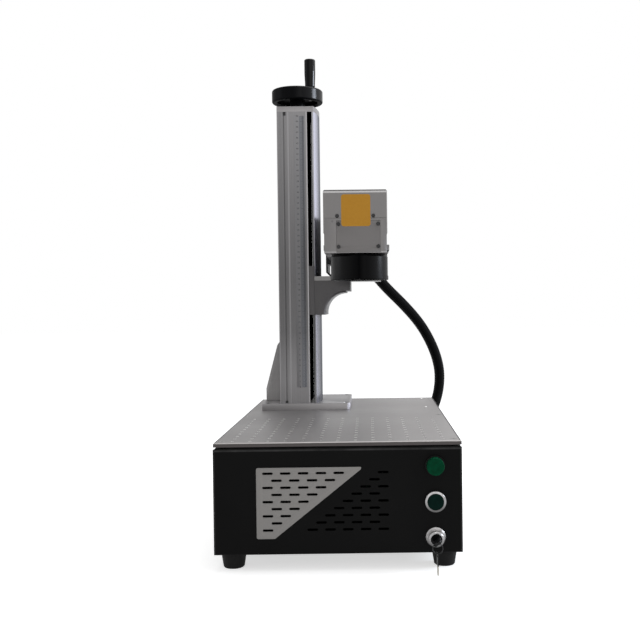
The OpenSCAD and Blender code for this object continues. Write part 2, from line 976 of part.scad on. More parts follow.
module fan_rotor() {
  blade_t = 1.5;
  blade_pitch = 38;
  tip = fan_bore / 2 - 1;
  hub_l = fan_t - 8;
  color([0.06, 0.06, 0.06])
    translate([fan_x, rear_y - sheet_t, fan_z])
      rotate([90, 0, 0])
        translate([0, 0, 3]) {
          cylinder(h = hub_l, d = fan_hub_d);
          cylinder(h = fan_t - 3, d = fan_shaft_d);
          for (i = [0 : fan_blades - 1])
            rotate([0, 0, i * 360 / fan_blades])
              translate([fan_hub_d / 2 - 2, 0, hub_l / 2])
                rotate([blade_pitch, 0, 0])
                  translate([0, -hub_l / 2, -blade_t / 2])
                    cube([tip - fan_hub_d / 2 + 1, hub_l, blade_t]);
        }
}

module fan_guard() {
  wire = 2;
  rings = [10, 17.5, 25, 32.5];
  color("silver")
    translate([fan_x, rear_y, fan_z])
      rotate([-90, 0, 0]) {
        for (r = rings)
          rotate_extrude()
            translate([r, 1.5 * wire])
              circle(d = wire, $fn = 16);
        for (a = [45, 135])
          rotate([0, 0, a])
            translate([0, 0, wire / 2])
              rotate([0, 90, 0])
                cylinder(h = sqrt(2) * fan_screw_pitch, d = wire, center = true, $fn = 16);
        for (i = [-1, 1], j = [-1, 1])
          translate([i * fan_screw_pitch / 2, j * fan_screw_pitch / 2, 0])
            cylinder(h = 1.5 * wire, d = 4 * wire);
      }
}

module power_inlet() {
  flange = 50;
  flange_h = 24;
  flange_t = 3;
  depth = 22;
  well_w = 24.4;
  well_h = 16.6;
  well_depth = 17;
  pin = [2, 4];
  pin_l = 11;
  color([0.07, 0.07, 0.07])
    translate([inlet_x, rear_y, inlet_z])
      rotate([90, 0, 0]) {
        difference() {
          union() {
            translate([0, 0, -flange_t])
              linear_extrude(flange_t)
                round_rect(flange, flange_h, inlet_r);
            translate([0, 0, -flange_t / 2])
              linear_extrude(depth)
                round_rect(inlet_w, inlet_h, inlet_r);
          }
          translate([0, 0, -flange_t - over])
            linear_extrude(well_depth + over)
              round_rect(well_w, well_h, inlet_r);
          for (i = [-1, 1])
            translate([i * inlet_screw_pitch / 2, 0, -flange_t - over])
              cylinder(h = flange_t + 2 * over, d = inlet_screw_d);
        }
        for (p = [[-7, -2], [0, 2], [7, -2]])
          translate([p[0] - pin[0] / 2, p[1] - pin[1] / 2, well_depth - flange_t - pin_l])
            cube([pin[0], pin[1], pin_l + over]);
      }
}

// Gland of the hose: a hexagon flange, a round nut and a tapered sleeve, along +Y from y
module gland(x, y, z, flange_t, nut_l, sleeve_l, grip_t) {
  translate([x, y, z])
    rotate([-90, 0, 0])
      difference() {
        union() {
          translate([0, 0, -grip_t])
            cylinder(h = grip_t + over, d = gland_thread_d);
          cylinder(h = flange_t, d = 1.5 * hose_d, $fn = 6);
          translate([0, 0, flange_t - over / 2])
            cylinder(h = nut_l + over / 2, d = 1.35 * hose_d);
          translate([0, 0, flange_t + nut_l - over / 2])
            cylinder(h = sleeve_l + over / 2, d1 = 1.3 * hose_d, d2 = 1.12 * hose_d);
        }
        translate([0, 0, -grip_t - over])
          cylinder(h = grip_t + flange_t + nut_l + sleeve_l + 2 * over, d = hose_bore);
      }
}

module lower_gland() {
  color([0.06, 0.06, 0.06])
    gland(gland_x, rear_y, gland_z, gland_flange_t, gland_nut_l, gland_sleeve_l, 4 * sheet_t);
}

// The hose's route as measured, its ends tied to the glands, and a smooth curve led by it
hose_points = [
  [24.4, 266, 492.4], [24.4, 276, 492.4], [24.4, 286, 492.4], [24.4, 296, 492.4], [27, 326, 488],
  [34, 355, 475], [49, 380, 453], [69, 396, 427], [90, 405, 404], [112, 415, 383], [133, 427, 361],
  [153, 436, 338], [171, 441, 311], [185, 446, 283], [196, 453, 255], [204, 463, 219], [201, 466, 178],
  [189, 455, 143], [169, 431, 117], [154, 402, 106], [148, 370, 104], [148, 360, 104],
  [148, 350, 104], [148, 340, 104]
];
hose_spans = len(hose_points) - 1;
upper_end = [box_x, box_back + tail_t + tail_gland * [1, 1, 1], box_z + tail_gland_z];
lower_end = [gland_x, rear_y + gland_reach, gland_z];
hose_route = [
  for (i = [0 : hose_spans])
    hose_points[i] + (1 - i / hose_spans) * (upper_end - hose_points[0])
      + i / hose_spans * (lower_end - hose_points[hose_spans])
];
function route_at(i) =
  i < 0 ? 2 * hose_route[0] - hose_route[1]
  : i > hose_spans ? 2 * hose_route[hose_spans] - hose_route[hose_spans - 1]
  : hose_route[i];
function curve_at(s) =
  let (i = min(floor(s), hose_spans - 1), t = s - i)
  (pow(1 - t, 3) * route_at(i - 1) + (3 * pow(t, 3) - 6 * t * t + 4) * route_at(i)
    + (-3 * pow(t, 3) + 3 * t * t + 3 * t + 1) * route_at(i + 1) + pow(t, 3) * route_at(i + 2)) / 6;

// Length run along the curve against its parameter, and the hose's full length
hose_steps = 8 * hose_spans;
hose_runs = [
  for (i = 0, l = 0; i <= hose_steps; l = l + hose_step(i), i = i + 1)
    [l, i * hose_spans / hose_steps]
];
function hose_step(i) = i == hose_steps ? 0
  : norm(curve_at((i + 1) * hose_spans / hose_steps) - curve_at(i * hose_spans / hose_steps));
hose_l = hose_runs[hose_steps][0];

// One ring of the hose's wall: radius r at the length l along the curve
hose_sides = 8;
hose_across = [1, -0.6, 0];
function hose_ring(l, r) =
  let (
    s = lookup(l, hose_runs),
    d = unit(curve_at(min(s + 0.05, hose_spans)) - curve_at(max(s - 0.05, 0))),
    a = unit(cross(d, hose_across)),
    b = cross(d, a)
  )
  [for (j = [0 : hose_sides - 1])
    let (w = 360 * j / hose_sides) curve_at(s) + r * (cos(w) * a + sin(w) * b)];

module hose() {
  groove = 0.8;
  rib = hose_l / hose_ribs;
  crest = hose_d / 2;
  root = crest - groove;
  outside = concat(
    [[0, root]],
    [for (i = [0 : hose_ribs - 1]) each [[(i + 0.3) * rib, crest], [(i + 0.7) * rib, i < hose_ribs - 1 ? root : crest]]],
    [[hose_l, root]]
  );
  inside = [for (i = [0 : 2 * hose_spans]) [hose_l * i / (2 * hose_spans), hose_bore / 2]];
  n = len(outside) - 1;
  m = len(inside) - 1;
  first = (n + 1) * hose_sides;
  color([0.05, 0.05, 0.06])
    polyhedron(
      [for (p = concat(outside, inside)) each hose_ring(p[0], p[1])],
      concat(wall_faces(0, n, false), wall_faces(first, m, true), end_faces(0, first, false),
        end_faces(n * hose_sides, first + m * hose_sides, true)),
      convexity = 10
    );
}

function wall_faces(first, n, inward) = [
  for (i = [0 : n - 1], j = [0 : hose_sides - 1])
    let (
      k = (j + 1) % hose_sides,
      a = first + i * hose_sides + j,
      b = first + i * hose_sides + k,
      c = b + hose_sides,
      d = a + hose_sides
    )
    each inward ? [[a, c, b], [a, d, c]] : [[a, b, c], [a, c, d]]
];
function end_faces(outer, inner, last) = [
  for (j = [0 : hose_sides - 1])
    let (k = (j + 1) % hose_sides, a = outer + j, b = outer + k, c = inner + k, d = inner + j)
    each last ? [[a, b, c], [a, c, d]] : [[a, c, b], [a, d, c]]
];

// The column and what stands it on the worktop

base_x = -152.5;
base_front = 66;
base_y = col_mid_y - base_front;
base_screw_d = 6.8;
base_screw_inset = 10;
base_corner = 5;
m8 = 8;

module base_screw_places() {
  for (x = [base_x + base_screw_inset, base_x + base_w - base_screw_inset],
      y = [base_y + base_screw_inset, base_y + base_d - base_screw_inset])
    translate([x, y, base_top])
      children();
}

module column_base() {
  head_h = m8 + fit;
  color([0.66, 0.65, 0.64])
    difference() {
      translate([base_x, base_y, table_z])
        linear_extrude(base_t)
          polygon([
            [0, 0], [base_w - base_corner, 0], [base_w, base_corner],
            [base_w, base_d - base_corner], [base_w - base_corner, base_d], [0, base_d]
          ]);
      base_screw_places() {
        cylinder(h = 3 * base_t, d = m8 + fit, center = true);
        translate([0, 0, -head_h])
          cylinder(h = head_h + over, d = 1.6 * m8 + 1);
      }
    }
}

module column_screws() {
  color([0.2, 0.2, 0.21]) {
    base_screw_places()
      translate([0, 0, -m8 - fit])
        cap_screw_in_place(m8, base_t - m8 - fit + top_t, base_screw_d);
    cap_screw_places()
      translate([0, 0, cap_t - m5 - fit])
        cap_screw_in_place(m5, cap_t + m5, port_d);
  }
}

// Screw whose shank is turned down to d2, the core of the hole that it is in
module cap_screw_in_place(d, l, d2) {
  difference() {
    union() {
      cylinder(h = d, d = 1.6 * d);
      translate([0, 0, -l])
        cylinder(h = l + over / 2, d = d2 - 2 * run);
    }
    translate([0, 0, d / 2])
      cylinder(h = d, d = 0.9 * d, $fn = 6);
  }
}

t_slot_w = 8;
t_slot_lip = 2;
t_slot_depth = 5;
t_slot_in_w = 13;
groove_x = 14.5;
groove_w = 4;
groove_d = 2;
step_x = 21;
step_d = 0.6;
port_d = 5;
port_wall = 2.5;

// Plan of the column: a channel open to the front, T-slots in its back, grooves in its sides
module column_section() {
  half = col_w / 2;
  difference() {
    translate([col_back, -half])
      square([col_depth, col_w]);
    difference() {
      translate([col_back + col_back_wall, col_wall - half])
        square([col_depth, col_w - 2 * col_wall]);
      for (i = [-1, 1])
        translate([col_back + col_back_wall, i * (half - col_wall)])
          circle(d = port_d + 2 * port_wall);
    }
    for (i = [-1, 1]) {
      translate([col_back + col_back_wall, i * (half - col_wall)])
        circle(d = port_d);
      translate([col_back + groove_x, i * (half - groove_d / 2 + over / 2)])
        square([groove_w, groove_d + over], center = true);
      translate([col_back + step_x - over / 4, i * half])
        square([over / 2, 2 * step_d], center = true);
    }
    for (y = [-rod_pitch, 0, rod_pitch])
      translate([col_back, y]) {
        square([2 * t_slot_depth, t_slot_w], center = true);
        translate([t_slot_lip, -t_slot_in_w / 2])
          square([t_slot_depth - t_slot_lip, t_slot_in_w]);
      }
  }
}

module column() {
  color([0.6, 0.59, 0.58])
    translate([0, col_mid_y, base_top])
      linear_extrude(col_h)
        column_section();
}

gusset_t = 16;
gusset_w = 31;
gusset_h = 118;

module gusset() {
  foot_share = 0.2;
  top_share = 0.29;
  color([0.55, 0.54, 0.53])
    translate([col_back, col_mid_y + gusset_t / 2, base_top])
      rotate([90, 0, 0])
        linear_extrude(gusset_t)
          polygon(rounded([
            [0, 0], [-gusset_w, 0], [-gusset_w, foot_share * gusset_h],
            [-top_share * gusset_w, 0.9 * gusset_h], [0, gusset_h]
          ], [0, 0, 4, 8, 0]));
}

// Plan of the column's cover: a flat back, square edges and a bowed front
module cover_section(edge, w) {
  half = w / 2;
  bow_r = (half * half + cover_bulge * cover_bulge) / (2 * cover_bulge);
  intersection() {
    translate([0, -half])
      square([edge + cover_bulge, w]);
    translate([edge + cover_bulge - bow_r, 0])
      circle(bow_r, $fn = 360);
  }
}

cover_wall = 2.5;
module column_cover() {
  color([0.8, 0.79, 0.82])
    translate([cover_back, col_mid_y, base_top])
      linear_extrude(col_h)
        difference() {
          cover_section(cover_edge, col_w);
          translate([cover_wall, 0])
            cover_section(cover_edge - 2 * cover_wall, col_w - 2 * cover_wall);
        }
}

upper_bearing_d = 28;
upper_bearing_t = 8;
journal_d = 12;
lower_bearing_d = 22;
lower_bearing_t = 7;
lower_journal_d = 10;
lower_block_h = 14;
m5 = 5;

module cap_screw_places() {
  for (i = [-1, 1])
    translate([col_back + col_back_wall, col_mid_y + i * (col_w / 2 - col_wall), col_top])
      children();
}

module rod_places() {
  for (i = [-1, 1])
    translate([screw_x, col_mid_y + i * rod_pitch, 0])
      children();
}

module column_cap() {
  color([0.64, 0.63, 0.62])
    difference() {
      translate([0, col_mid_y, col_top])
        linear_extrude(cap_t) {
          translate([col_back, -col_w / 2])
            square([cover_back - col_back + over, col_w]);
          translate([cover_back, 0])
            cover_section(cover_edge, col_w);
        }
      translate([screw_x, col_mid_y, col_top - over])
        cylinder(h = cap_t + 2 * over, d = journal_d + 4);
      translate([screw_x, col_mid_y, cap_top - upper_bearing_t])
        cylinder(h = cap_t, d = upper_bearing_d + 2 * run);
      rod_places()
        translate([0, 0, col_top - over])
          cylinder(h = cap_t / 2 + over, d = rod_d + 2 * run);
      cap_screw_places() {
        cylinder(h = 3 * cap_t, d = m5 + fit, center = true);
        translate([0, 0, cap_t - m5 - fit])
          cylinder(h = cap_t, d = 1.6 * m5 + 1);
      }
    }
}

ruler_l = 500;
ruler_w = 18.5;
ruler_t = 0.5;
ruler_inset = 5.6;
ruler_lift = 29.5;
ruler_x = col_front - ruler_inset - ruler_w;
ruler_z = base_top + ruler_lift;
module ruler() {
  color([0.7, 0.7, 0.7])
    translate([ruler_x, col_mid_y - col_w / 2 - ruler_t, ruler_z])
      cube([ruler_w, ruler_t, ruler_l]);
}

module guide_rods() {
  foot = lower_block_h - 4;
  color([0.82, 0.82, 0.84])
    rod_places()
      translate([0, 0, base_top + lower_block_h - foot])
        cylinder(h = col_h - lower_block_h + foot + cap_t / 2, d = rod_d);
}

module lower_block() {
  x0 = col_back + col_back_wall + fit;
  x1 = col_front;
  w = col_w - 2 * col_wall - 2 * fit;
  corner = port_d + 2 * port_wall;
  color([0.6, 0.6, 0.6])
    difference() {
      translate([x0, col_mid_y - w / 2, base_top])
        cube([x1 - x0, w, lower_block_h]);
      for (i = [-1, 1])
        translate([x0, col_mid_y + i * w / 2, base_top + lower_block_h / 2])
          cube([corner, corner, 2 * lower_block_h], center = true);
      rod_places()
        translate([0, 0, base_top + 4])
          cylinder(h = lower_block_h, d = rod_d + 2 * run);
      translate([screw_x, col_mid_y, base_top + lower_block_h - lower_bearing_t])
        cylinder(h = lower_block_h, d = lower_bearing_d + 2 * run);
      translate([screw_x, col_mid_y, base_top + 2])
        cylinder(h = lower_block_h, d = lower_journal_d + 4);
    }
}

// Bearing ring: bore b, outside d, height t
module bearing(b, d, t) {
  chamfer = 0.6;
  race = (d - b) / 8;
  rotate_extrude()
    difference() {
      polygon([
        [b / 2, 0], [d / 2 - chamfer, 0], [d / 2, chamfer], [d / 2, t - chamfer],
        [d / 2 - chamfer, t], [b / 2, t]
      ]);
      for (z = [0, t])
        translate([(b + d) / 4, z])
          square([2 * race, race], center = true);
    }
}

module bearings() {
  color([0.7, 0.7, 0.72]) {
    translate([screw_x, col_mid_y, cap_top - upper_bearing_t])
      bearing(journal_d + 2 * run, upper_bearing_d, upper_bearing_t);
    translate([screw_x, col_mid_y, base_top + lower_block_h - lower_bearing_t])
      bearing(lower_journal_d + 2 * run, lower_bearing_d, lower_bearing_t);
  }
}

hub_gap = 1.5;
hub_z = cap_top + hub_gap;
hub_h = 36;
hub_d = 28;
rim_lift = 16.8;
rim_z = cap_top + rim_lift;
web_t = 7;

module lead_screw() {
  low = base_top + lower_block_h;
  color([0.72, 0.72, 0.74])
    translate([screw_x, col_mid_y, 0]) {
      translate([0, 0, base_top + 3])
        cylinder(h = low - base_top, d = lower_journal_d);
      translate([0, 0, low + over])
        cylinder(h = col_top - low - 2 * over, d = screw_d);
      translate([0, 0, col_top - 2 * over])
        cylinder(h = cap_t + hub_gap + hub_h - 4 + 2 * over, d = journal_d);
    }
}

module handwheel() {
  rim_r = wheel_d / 2 - rim_w / 2;
  color([0.04, 0.04, 0.04])
    difference() {
      translate([screw_x, col_mid_y, hub_z])
        rotate_extrude($fn = 96) {
          difference() {
            union() {
              square([hub_d / 2, hub_h - 2]);
              square([hub_d / 2 - 2, hub_h]);
              translate([hub_d / 2 - 2, hub_h - 2])
                circle(2);
            }
            translate([0, -over])
              square([journal_d / 2 + run, hub_h - 3 + over]);
          }
          translate([hub_d / 2 - over, rim_z - hub_z + rim_h / 2 - web_t / 2])
            square([rim_r - hub_d / 2, web_t]);
          translate([rim_r, rim_z - hub_z + rim_h / 2])
            round_rect(rim_w, rim_h, rim_w / 3);
        }
      at_spindle()
        translate([0, 0, -rim_h])
          cylinder(h = rim_h + over, d = spindle_d - 2);
    }
}

spindle_d = 8;
spindle_at = [26, -26];
spindle_collar_d = 13;
spindle_collar_t = 1.5;
grip_z = rim_z + rim_h + spindle_collar_t + fit;

// The grip's spindle stands on the rim, towards the front right
module at_spindle() {
  translate([screw_x + spindle_at[0], col_mid_y + spindle_at[1], rim_z + rim_h])
    children();
}

module grip_spindle() {
  color([0.78, 0.78, 0.8])
    at_spindle() {
      translate([0, 0, -rim_h])
        cylinder(h = rim_h + over, d = spindle_d - 2 - 2 * run);
      cylinder(h = spindle_collar_t, d = spindle_collar_d);
      cylinder(h = spindle_collar_t + grip_l - 8, d = spindle_d);
    }
}

module grip() {
  r = grip_d / 2;
  waist = 0.09 * r;
  top_r = 2.5;
  flare_steps = 10;
  flare_share = 0.55;
  color([0.05, 0.05, 0.05])
    at_spindle()
      translate([0, 0, spindle_collar_t + fit])
        rotate_extrude()
          difference() {
            union() {
              polygon(concat(
                [[0, 0]],
                [for (i = [0 : flare_steps]) let (t = i / flare_steps)
                  [r - waist * (1 + cos(180 * t)) / 2, flare_share * grip_l * t]],
                [[r, grip_l - top_r], [0, grip_l - top_r]]
              ));
              translate([0, flare_share * grip_l])
                square([r - top_r, (1 - flare_share) * grip_l]);
              translate([r - top_r, grip_l - top_r])
                circle(top_r);
            }
            translate([0, -over])
              square([spindle_d / 2 + run, grip_l - 6 + over]);
          }
}

// The carriage and the arm

bush_d = 21;
bush_l = 30;
nut_d = 28;
nut_flange_d = 34;
nut_flange_t = 8;
nut_l = 44;

module carriage() {
  half = arm_w / 2;
  side = col_w / 2 + fit;
  block_back = col_back + col_back_wall + 7 * fit;
  block_w = col_w - 2 * col_wall - 12;
  color([0.58, 0.57, 0.57])
    difference() {
      translate([0, col_mid_y, carriage_z])
        union() {
          linear_extrude(carriage_h)
            polygon([
              [web_back, -half], [ear_front, -half], [ear_front, -side], [web_front, -side],
              [web_front, side], [ear_front, side], [ear_front, half], [web_back, half]
            ]);
          translate([block_back, -block_w / 2, 0])
            cube([web_back - block_back + over / 2, block_w, carriage_h]);
        }
      rod_places()
        translate([0, 0, carriage_z - over])
          cylinder(h = carriage_h + 2 * over, d = bush_d + 2 * run);
      translate([screw_x, col_mid_y, carriage_z - over]) {
        cylinder(h = carriage_h + 2 * over, d = nut_d + 2 * run);
        cylinder(h = nut_flange_t + over, d = nut_flange_d + 2 * run);
      }
    }
}

module lead_nut() {
  color([0.7, 0.55, 0.25])
    translate([screw_x, col_mid_y, carriage_z])
      rotate_extrude()
        polygon([
          [screw_d / 2 + run, 0], [nut_flange_d / 2, 0], [nut_flange_d / 2, nut_flange_t - run],
          [nut_d / 2, nut_flange_t - run], [nut_d / 2, nut_l], [screw_d / 2 + run, nut_l]
        ]);
}

module slide_bushes() {
  color([0.35, 0.35, 0.36])
    rod_places()
      for (z = [carriage_z, carriage_top - bush_l])
        translate([0, 0, z])
          bearing(rod_d + 2 * run, bush_d, bush_l);
}

// Plan notch that lets the arm pass round the column's cover
module cover_notch(z, h) {
  w = col_w + 2 * fit;
  translate([ear_front - over, col_mid_y - w / 2, z - over])
    cube([bracket_back - ear_front + over, w, h + 2 * over]);
}

bracket_chamfer = 3;
module arm_bracket() {
  h = bracket_top - carriage_z;
  foot = 3;
  flat = 8;
  hollow_x = bracket_front - flat;
  hollow_z = carriage_z + foot;
  color([0.5, 0.49, 0.49])
    difference() {
      translate([ear_front, col_mid_y - arm_w / 2, carriage_z])
        cube([bracket_front - ear_front, arm_w, h]);
      translate([hollow_x, col_mid_y + arm_w, hollow_z])
        rotate([90, 0, 0])
          cylinder(h = 2 * arm_w, r = bracket_r);
      translate([hollow_x, col_mid_y - arm_w, carriage_z - over])
        cube([flat + over, 2 * arm_w, bracket_top - bracket_end_h - carriage_z + over]);
      translate([hollow_x - bracket_r, col_mid_y - arm_w, carriage_z - over])
        cube([bracket_r + over, 2 * arm_w, foot + over]);
      for (i = [-1, 1])
        translate([hollow_x, col_mid_y + i * arm_w / 2, hollow_z])
          rotate([i * 90, 0, 0])
            translate([0, 0, -over])
              cylinder(h = bracket_chamfer + over, r1 = bracket_r + bracket_chamfer + over,
                r2 = bracket_r);
      cover_notch(carriage_z, h);
      arm_screw_places()
        cylinder(h = 3 * m6, d = m6_core, center = true);
    }
}

m6 = 6;
m6_core = 5;
module arm_screw_places() {
  for (x = [bracket_back + 8, bracket_front - 10], i = [-1, 1])
    translate([x, col_mid_y + i * (arm_w / 2 - 14), bracket_top])
      children();
}

module arm_plate() {
  color([0.64, 0.63, 0.62])
    difference() {
      translate([ear_front, col_mid_y - arm_w / 2, bracket_top])
        cube([arm_front - ear_front, arm_w, arm_t]);
      cover_notch(bracket_top, arm_t);
      arm_screw_places() {
        cylinder(h = 3 * arm_t, d = m6 + fit, center = true);
        translate([0, 0, arm_t - m6 - fit])
          cylinder(h = arm_t, d = 1.6 * m6 + 1);
      }
    }
}

module arm_screws() {
  color([0.2, 0.2, 0.21])
    arm_screw_places()
      translate([0, 0, arm_t - m6 - fit])
        cap_screw_in_place(m6, arm_t - m6 + m6_core, m6_core);
}

// The cradle is a box section whose sides rise to hold the optics box
cradle_wall = 3;
cradle_side = 8.5;
cradle_d = 110;
cradle_ear = 31;
cradle_chamfer = 7;
cradle_lip = 4;
cradle_lip_h = 10;

module cradle() {
  inner = box_w + 2 * fit;
  half = inner / 2 + cradle_side;
  shelf = head_z - arm_top;
  top = shelf + cradle_ear;
  lip_z = top - cradle_lip_h;
  wide = half + cradle_lip;
  bore = half - cradle_wall;
  cut = cradle_chamfer - cradle_wall / 2;
  color([0.13, 0.13, 0.14])
    translate([box_x, col_mid_y + arm_w / 2 - m6, arm_top])
      rotate([90, 0, 0])
        linear_extrude(cradle_d)
          difference() {
            polygon([
              [cradle_chamfer - half, 0], [half - cradle_chamfer, 0], [half, cradle_chamfer],
              [half, lip_z - cradle_lip], [wide, lip_z], [wide, top], [-wide, top],
              [-wide, lip_z], [-half, lip_z - cradle_lip], [-half, cradle_chamfer]
            ]);
            polygon([
              [cut - bore, cradle_wall], [bore - cut, cradle_wall], [bore, cradle_wall + cut],
              [bore, shelf - cradle_wall], [-bore, shelf - cradle_wall], [-bore, cradle_wall + cut]
            ]);
            translate([-inner / 2, shelf])
              square([inner, cradle_ear + over]);
          }
}

module optics_box() {
  color([0.6, 0.59, 0.58])
    translate([box_x, box_back, box_z + box_h / 2])
      rotate([90, 0, 0])
        linear_extrude(box_l)
          difference() {
            round_rect(box_w, box_h, box_wall);
            square([box_w - 2 * box_wall, box_h - 2 * box_wall], center = true);
          }
}

module optics_tail() {
  d = 1.3 * hose_d;
  color([0.6, 0.59, 0.58])
    union() {
      difference() {
        translate([box_x, box_back + tail_t, box_z + box_h / 2])
          rotate([90, 0, 0])
            linear_extrude(tail_t)
              round_rect(box_w, box_h, box_wall);
        front_cylinder(box_x, box_back + tail_t + over, box_z + tail_gland_z, tail_t + 2 * over,
          gland_thread_d - 1);
      }
      gland(box_x, box_back + tail_t, box_z + tail_gland_z, tail_gland[0], tail_gland[1], tail_gland[2], tail_t);
    }
}

module isolator() {
  d = 38;
  l = 160;
  block = 30;
  shoe_h = beam_z - box_z - box_wall;
  color([0.1, 0.1, 0.11])
    difference() {
      union() {
        front_cylinder(beam_x, head_back + l + 20, beam_z, l, d);
        for (y = [head_back + 45, head_back + l - block])
          translate([beam_x - d / 2, y, box_z + box_wall])
            cube([d, block, shoe_h]);
      }
      front_cylinder(beam_x, head_back + l, beam_z, l, 8);
    }
}

// The scan head

beam_off = 23.3;
beam_lift = 45;
seam_lift = 53.3;
skirt_lift = 30.6;
beam_x = head_x - beam_off;
beam_z = head_z + beam_lift;
seam_z = head_z + seam_lift;
skirt_z = head_z + skirt_lift;
plate_w = 67.6;
plate_x = head_x + 4.5;
plate_h = 49;
plate_t = 2;
lens_bore = 60;
aperture_d = 16;

module head_body() {
  inner_w = body_w - 2 * head_wall;
  inner_d = head_d - 2 * head_wall;
  top = head_top - cover_t;
  color([0.62, 0.61, 0.6])
    difference() {
      translate([head_x - body_w / 2, head_front, head_z])
        cube([body_w, head_d, top - head_z]);
      translate([head_x - inner_w / 2, head_front + head_wall, head_z + 2 * head_wall])
        cube([inner_w, inner_d, head_h]);
      translate([head_x - body_w, head_front - over, seam_z])
        cube([2 * body_w, cover_t + fit / 2 + over, head_h]);
      translate([lens_x, lens_y, head_z - over])
        cylinder(h = 3 * head_wall, d = lens_bore);
      front_cylinder(beam_x, head_back + over, beam_z, 2 * head_wall, aperture_d);
      translate([plate_x - plate_w / 2, head_front - over, head_z + 2 * fit])
        cube([plate_w, plate_t + over, plate_h]);
      translate([plate_x - plate_w / 2 + 6, head_front - over, head_z + 10])
        cube([plate_w - 12, head_wall + 2 * over, plate_h - 20]);
      head_screw_places()
        front_cylinder(0, head_wall + over, 0, head_wall + 2 * over, head_screw_d - 1);
    }
}

module head_cover() {
  top = head_top - cover_t;
  r = 3;
  color([0.64, 0.63, 0.62])
    difference() {
      translate([head_x, head_back, head_top - head_h / 2])
        rotate([90, 0, 0])
          linear_extrude(head_d)
            round_rect(head_w, head_h, r);
      translate([head_x - body_w / 2, head_front + cover_t, head_z - over])
        cube([body_w, head_d, top - head_z + over]);
      translate([head_x - body_w / 2, head_front - over, head_z - over])
        cube([body_w, head_d, seam_z + fit - head_z + over]);
      translate([head_x - head_w, head_front - over, head_z - over])
        cube([2 * head_w, head_d + 2 * over, skirt_z - head_z + over]);
      cover_screw_places()
        front_cylinder(0, cover_t + over, 0, cover_t + 2 * over, head_screw_d);
    }
}

head_screw_d = 3;
head_screw_h = 1.8;
plate_screw_inset = 3.2;
cover_screw_pitch = 55.5;

// Four screws hold the front plate and two hold the cover's front edge
module plate_screw_places() {
  for (i = [-1, 1], z = [head_z + 9.5, head_z + plate_h - 4.7])
    translate([plate_x + i * (plate_w / 2 - plate_screw_inset), head_front, z])
      children();
}

module cover_screw_places() {
  for (i = [-1, 1])
    translate([head_x + i * cover_screw_pitch / 2, head_front, seam_z + 3.4])
      children();
}

module head_screw_places() {
  plate_screw_places()
    children();
  cover_screw_places()
    children();
}

module head_plate() {
  color([0.6, 0.59, 0.58])
    difference() {
      translate([plate_x - plate_w / 2 + fit, head_front, head_z + 3 * fit])
        cube([plate_w - 2 * fit, plate_t, plate_h - 2 * fit]);
      plate_screw_places()
        front_cylinder(0, plate_t + over, 0, plate_t + 2 * over, head_screw_d);
    }
}

module head_screws() {
  color([0.5, 0.5, 0.5])
    union() {
      plate_screw_places()
        head_screw();
      cover_screw_places()
        head_screw();
    }
}

// Round-headed screw along +Y, seated on the front face
module head_screw() {
  difference() {
    union() {
      rotate([90, 0, 0])
        cylinder(h = head_screw_h, d1 = 2 * head_screw_d, d2 = 1.6 * head_screw_d);
      translate([0, head_wall + plate_t, 0])
        rotate([90, 0, 0])
          cylinder(h = head_wall + plate_t + over / 2, d = head_screw_d - 1 - 2 * run);
    }
    translate([0, -head_screw_h / 2, 0])
      rotate([90, 0, 0])
        cylinder(h = head_screw_h, d = head_screw_d / 2 + 0.5, $fn = 6);
  }
}

// The lens: a barrel with a lip at its foot, a thick front glass and a neck in the head
lip_h = 6.5;
lip_extra = 0.8;
glass_d = 72;
glass_t = 8;
glass_lift = 5;
glass_seat = 4;
lens_neck_h = 6;
module lens() {
  r = lens_d / 2;
  neck_r = lens_bore / 2 - run;
  shoulder = 2.5;
  ledge = glass_lift + glass_t + run;
  color([0.05, 0.05, 0.06])
    translate([lens_x, lens_y, head_z - lens_h])
      rotate_extrude($fn = 96) {
        polygon([
          [neck_r - glass_seat, lens_h + lens_neck_h], [neck_r, lens_h + lens_neck_h],
          [neck_r, lens_h], [r - shoulder, lens_h], [r, lens_h - 2 * shoulder],
          [r, lip_h], [r + lip_extra, lip_h], [r + lip_extra, 1], [r + lip_extra - 1, 0],
          [glass_d / 2 + 3, 0], [glass_d / 2 + run, glass_lift],
          [glass_d / 2 + run, ledge], [glass_d / 2 - glass_seat, ledge],
          [neck_r - glass_seat, lens_h - glass_seat]
        ]);
        translate([0, glass_lift])
          square([glass_d / 2, glass_t]);
      }
}

// The galvanometers: two motors held by a block, each turning a mirror
motor_d = 26;
motor_reach = 13;
motor_y_reach = 15;
mirror_shaft_d = 4;
mirror_shaft_l = 21;
shaft_bore_l = 20;
mirror_t = 2;

module motor_x_body(d, l) {
  translate([beam_x, lens_y, beam_z + motor_reach])
    cylinder(h = l, d = d);
}

module motor_y_body(d, l) {
  front_cylinder(lens_x, lens_y + motor_y_reach + l, beam_z, l, d);
}

module galvo_motors() {
  top = head_top - cover_t - fit;
  color([0.2, 0.2, 0.21])
    difference() {
      union() {
        motor_x_body(motor_d, top - beam_z - motor_reach);
        motor_y_body(motor_d, head_back - head_wall - lens_y - motor_y_reach);
      }
      translate([0, 0, -over])
        motor_x_body(mirror_shaft_d + 2 * run, shaft_bore_l + over);
      translate([0, -over, 0])
        motor_y_body(mirror_shaft_d + 2 * run, shaft_bore_l + over);
    }
}

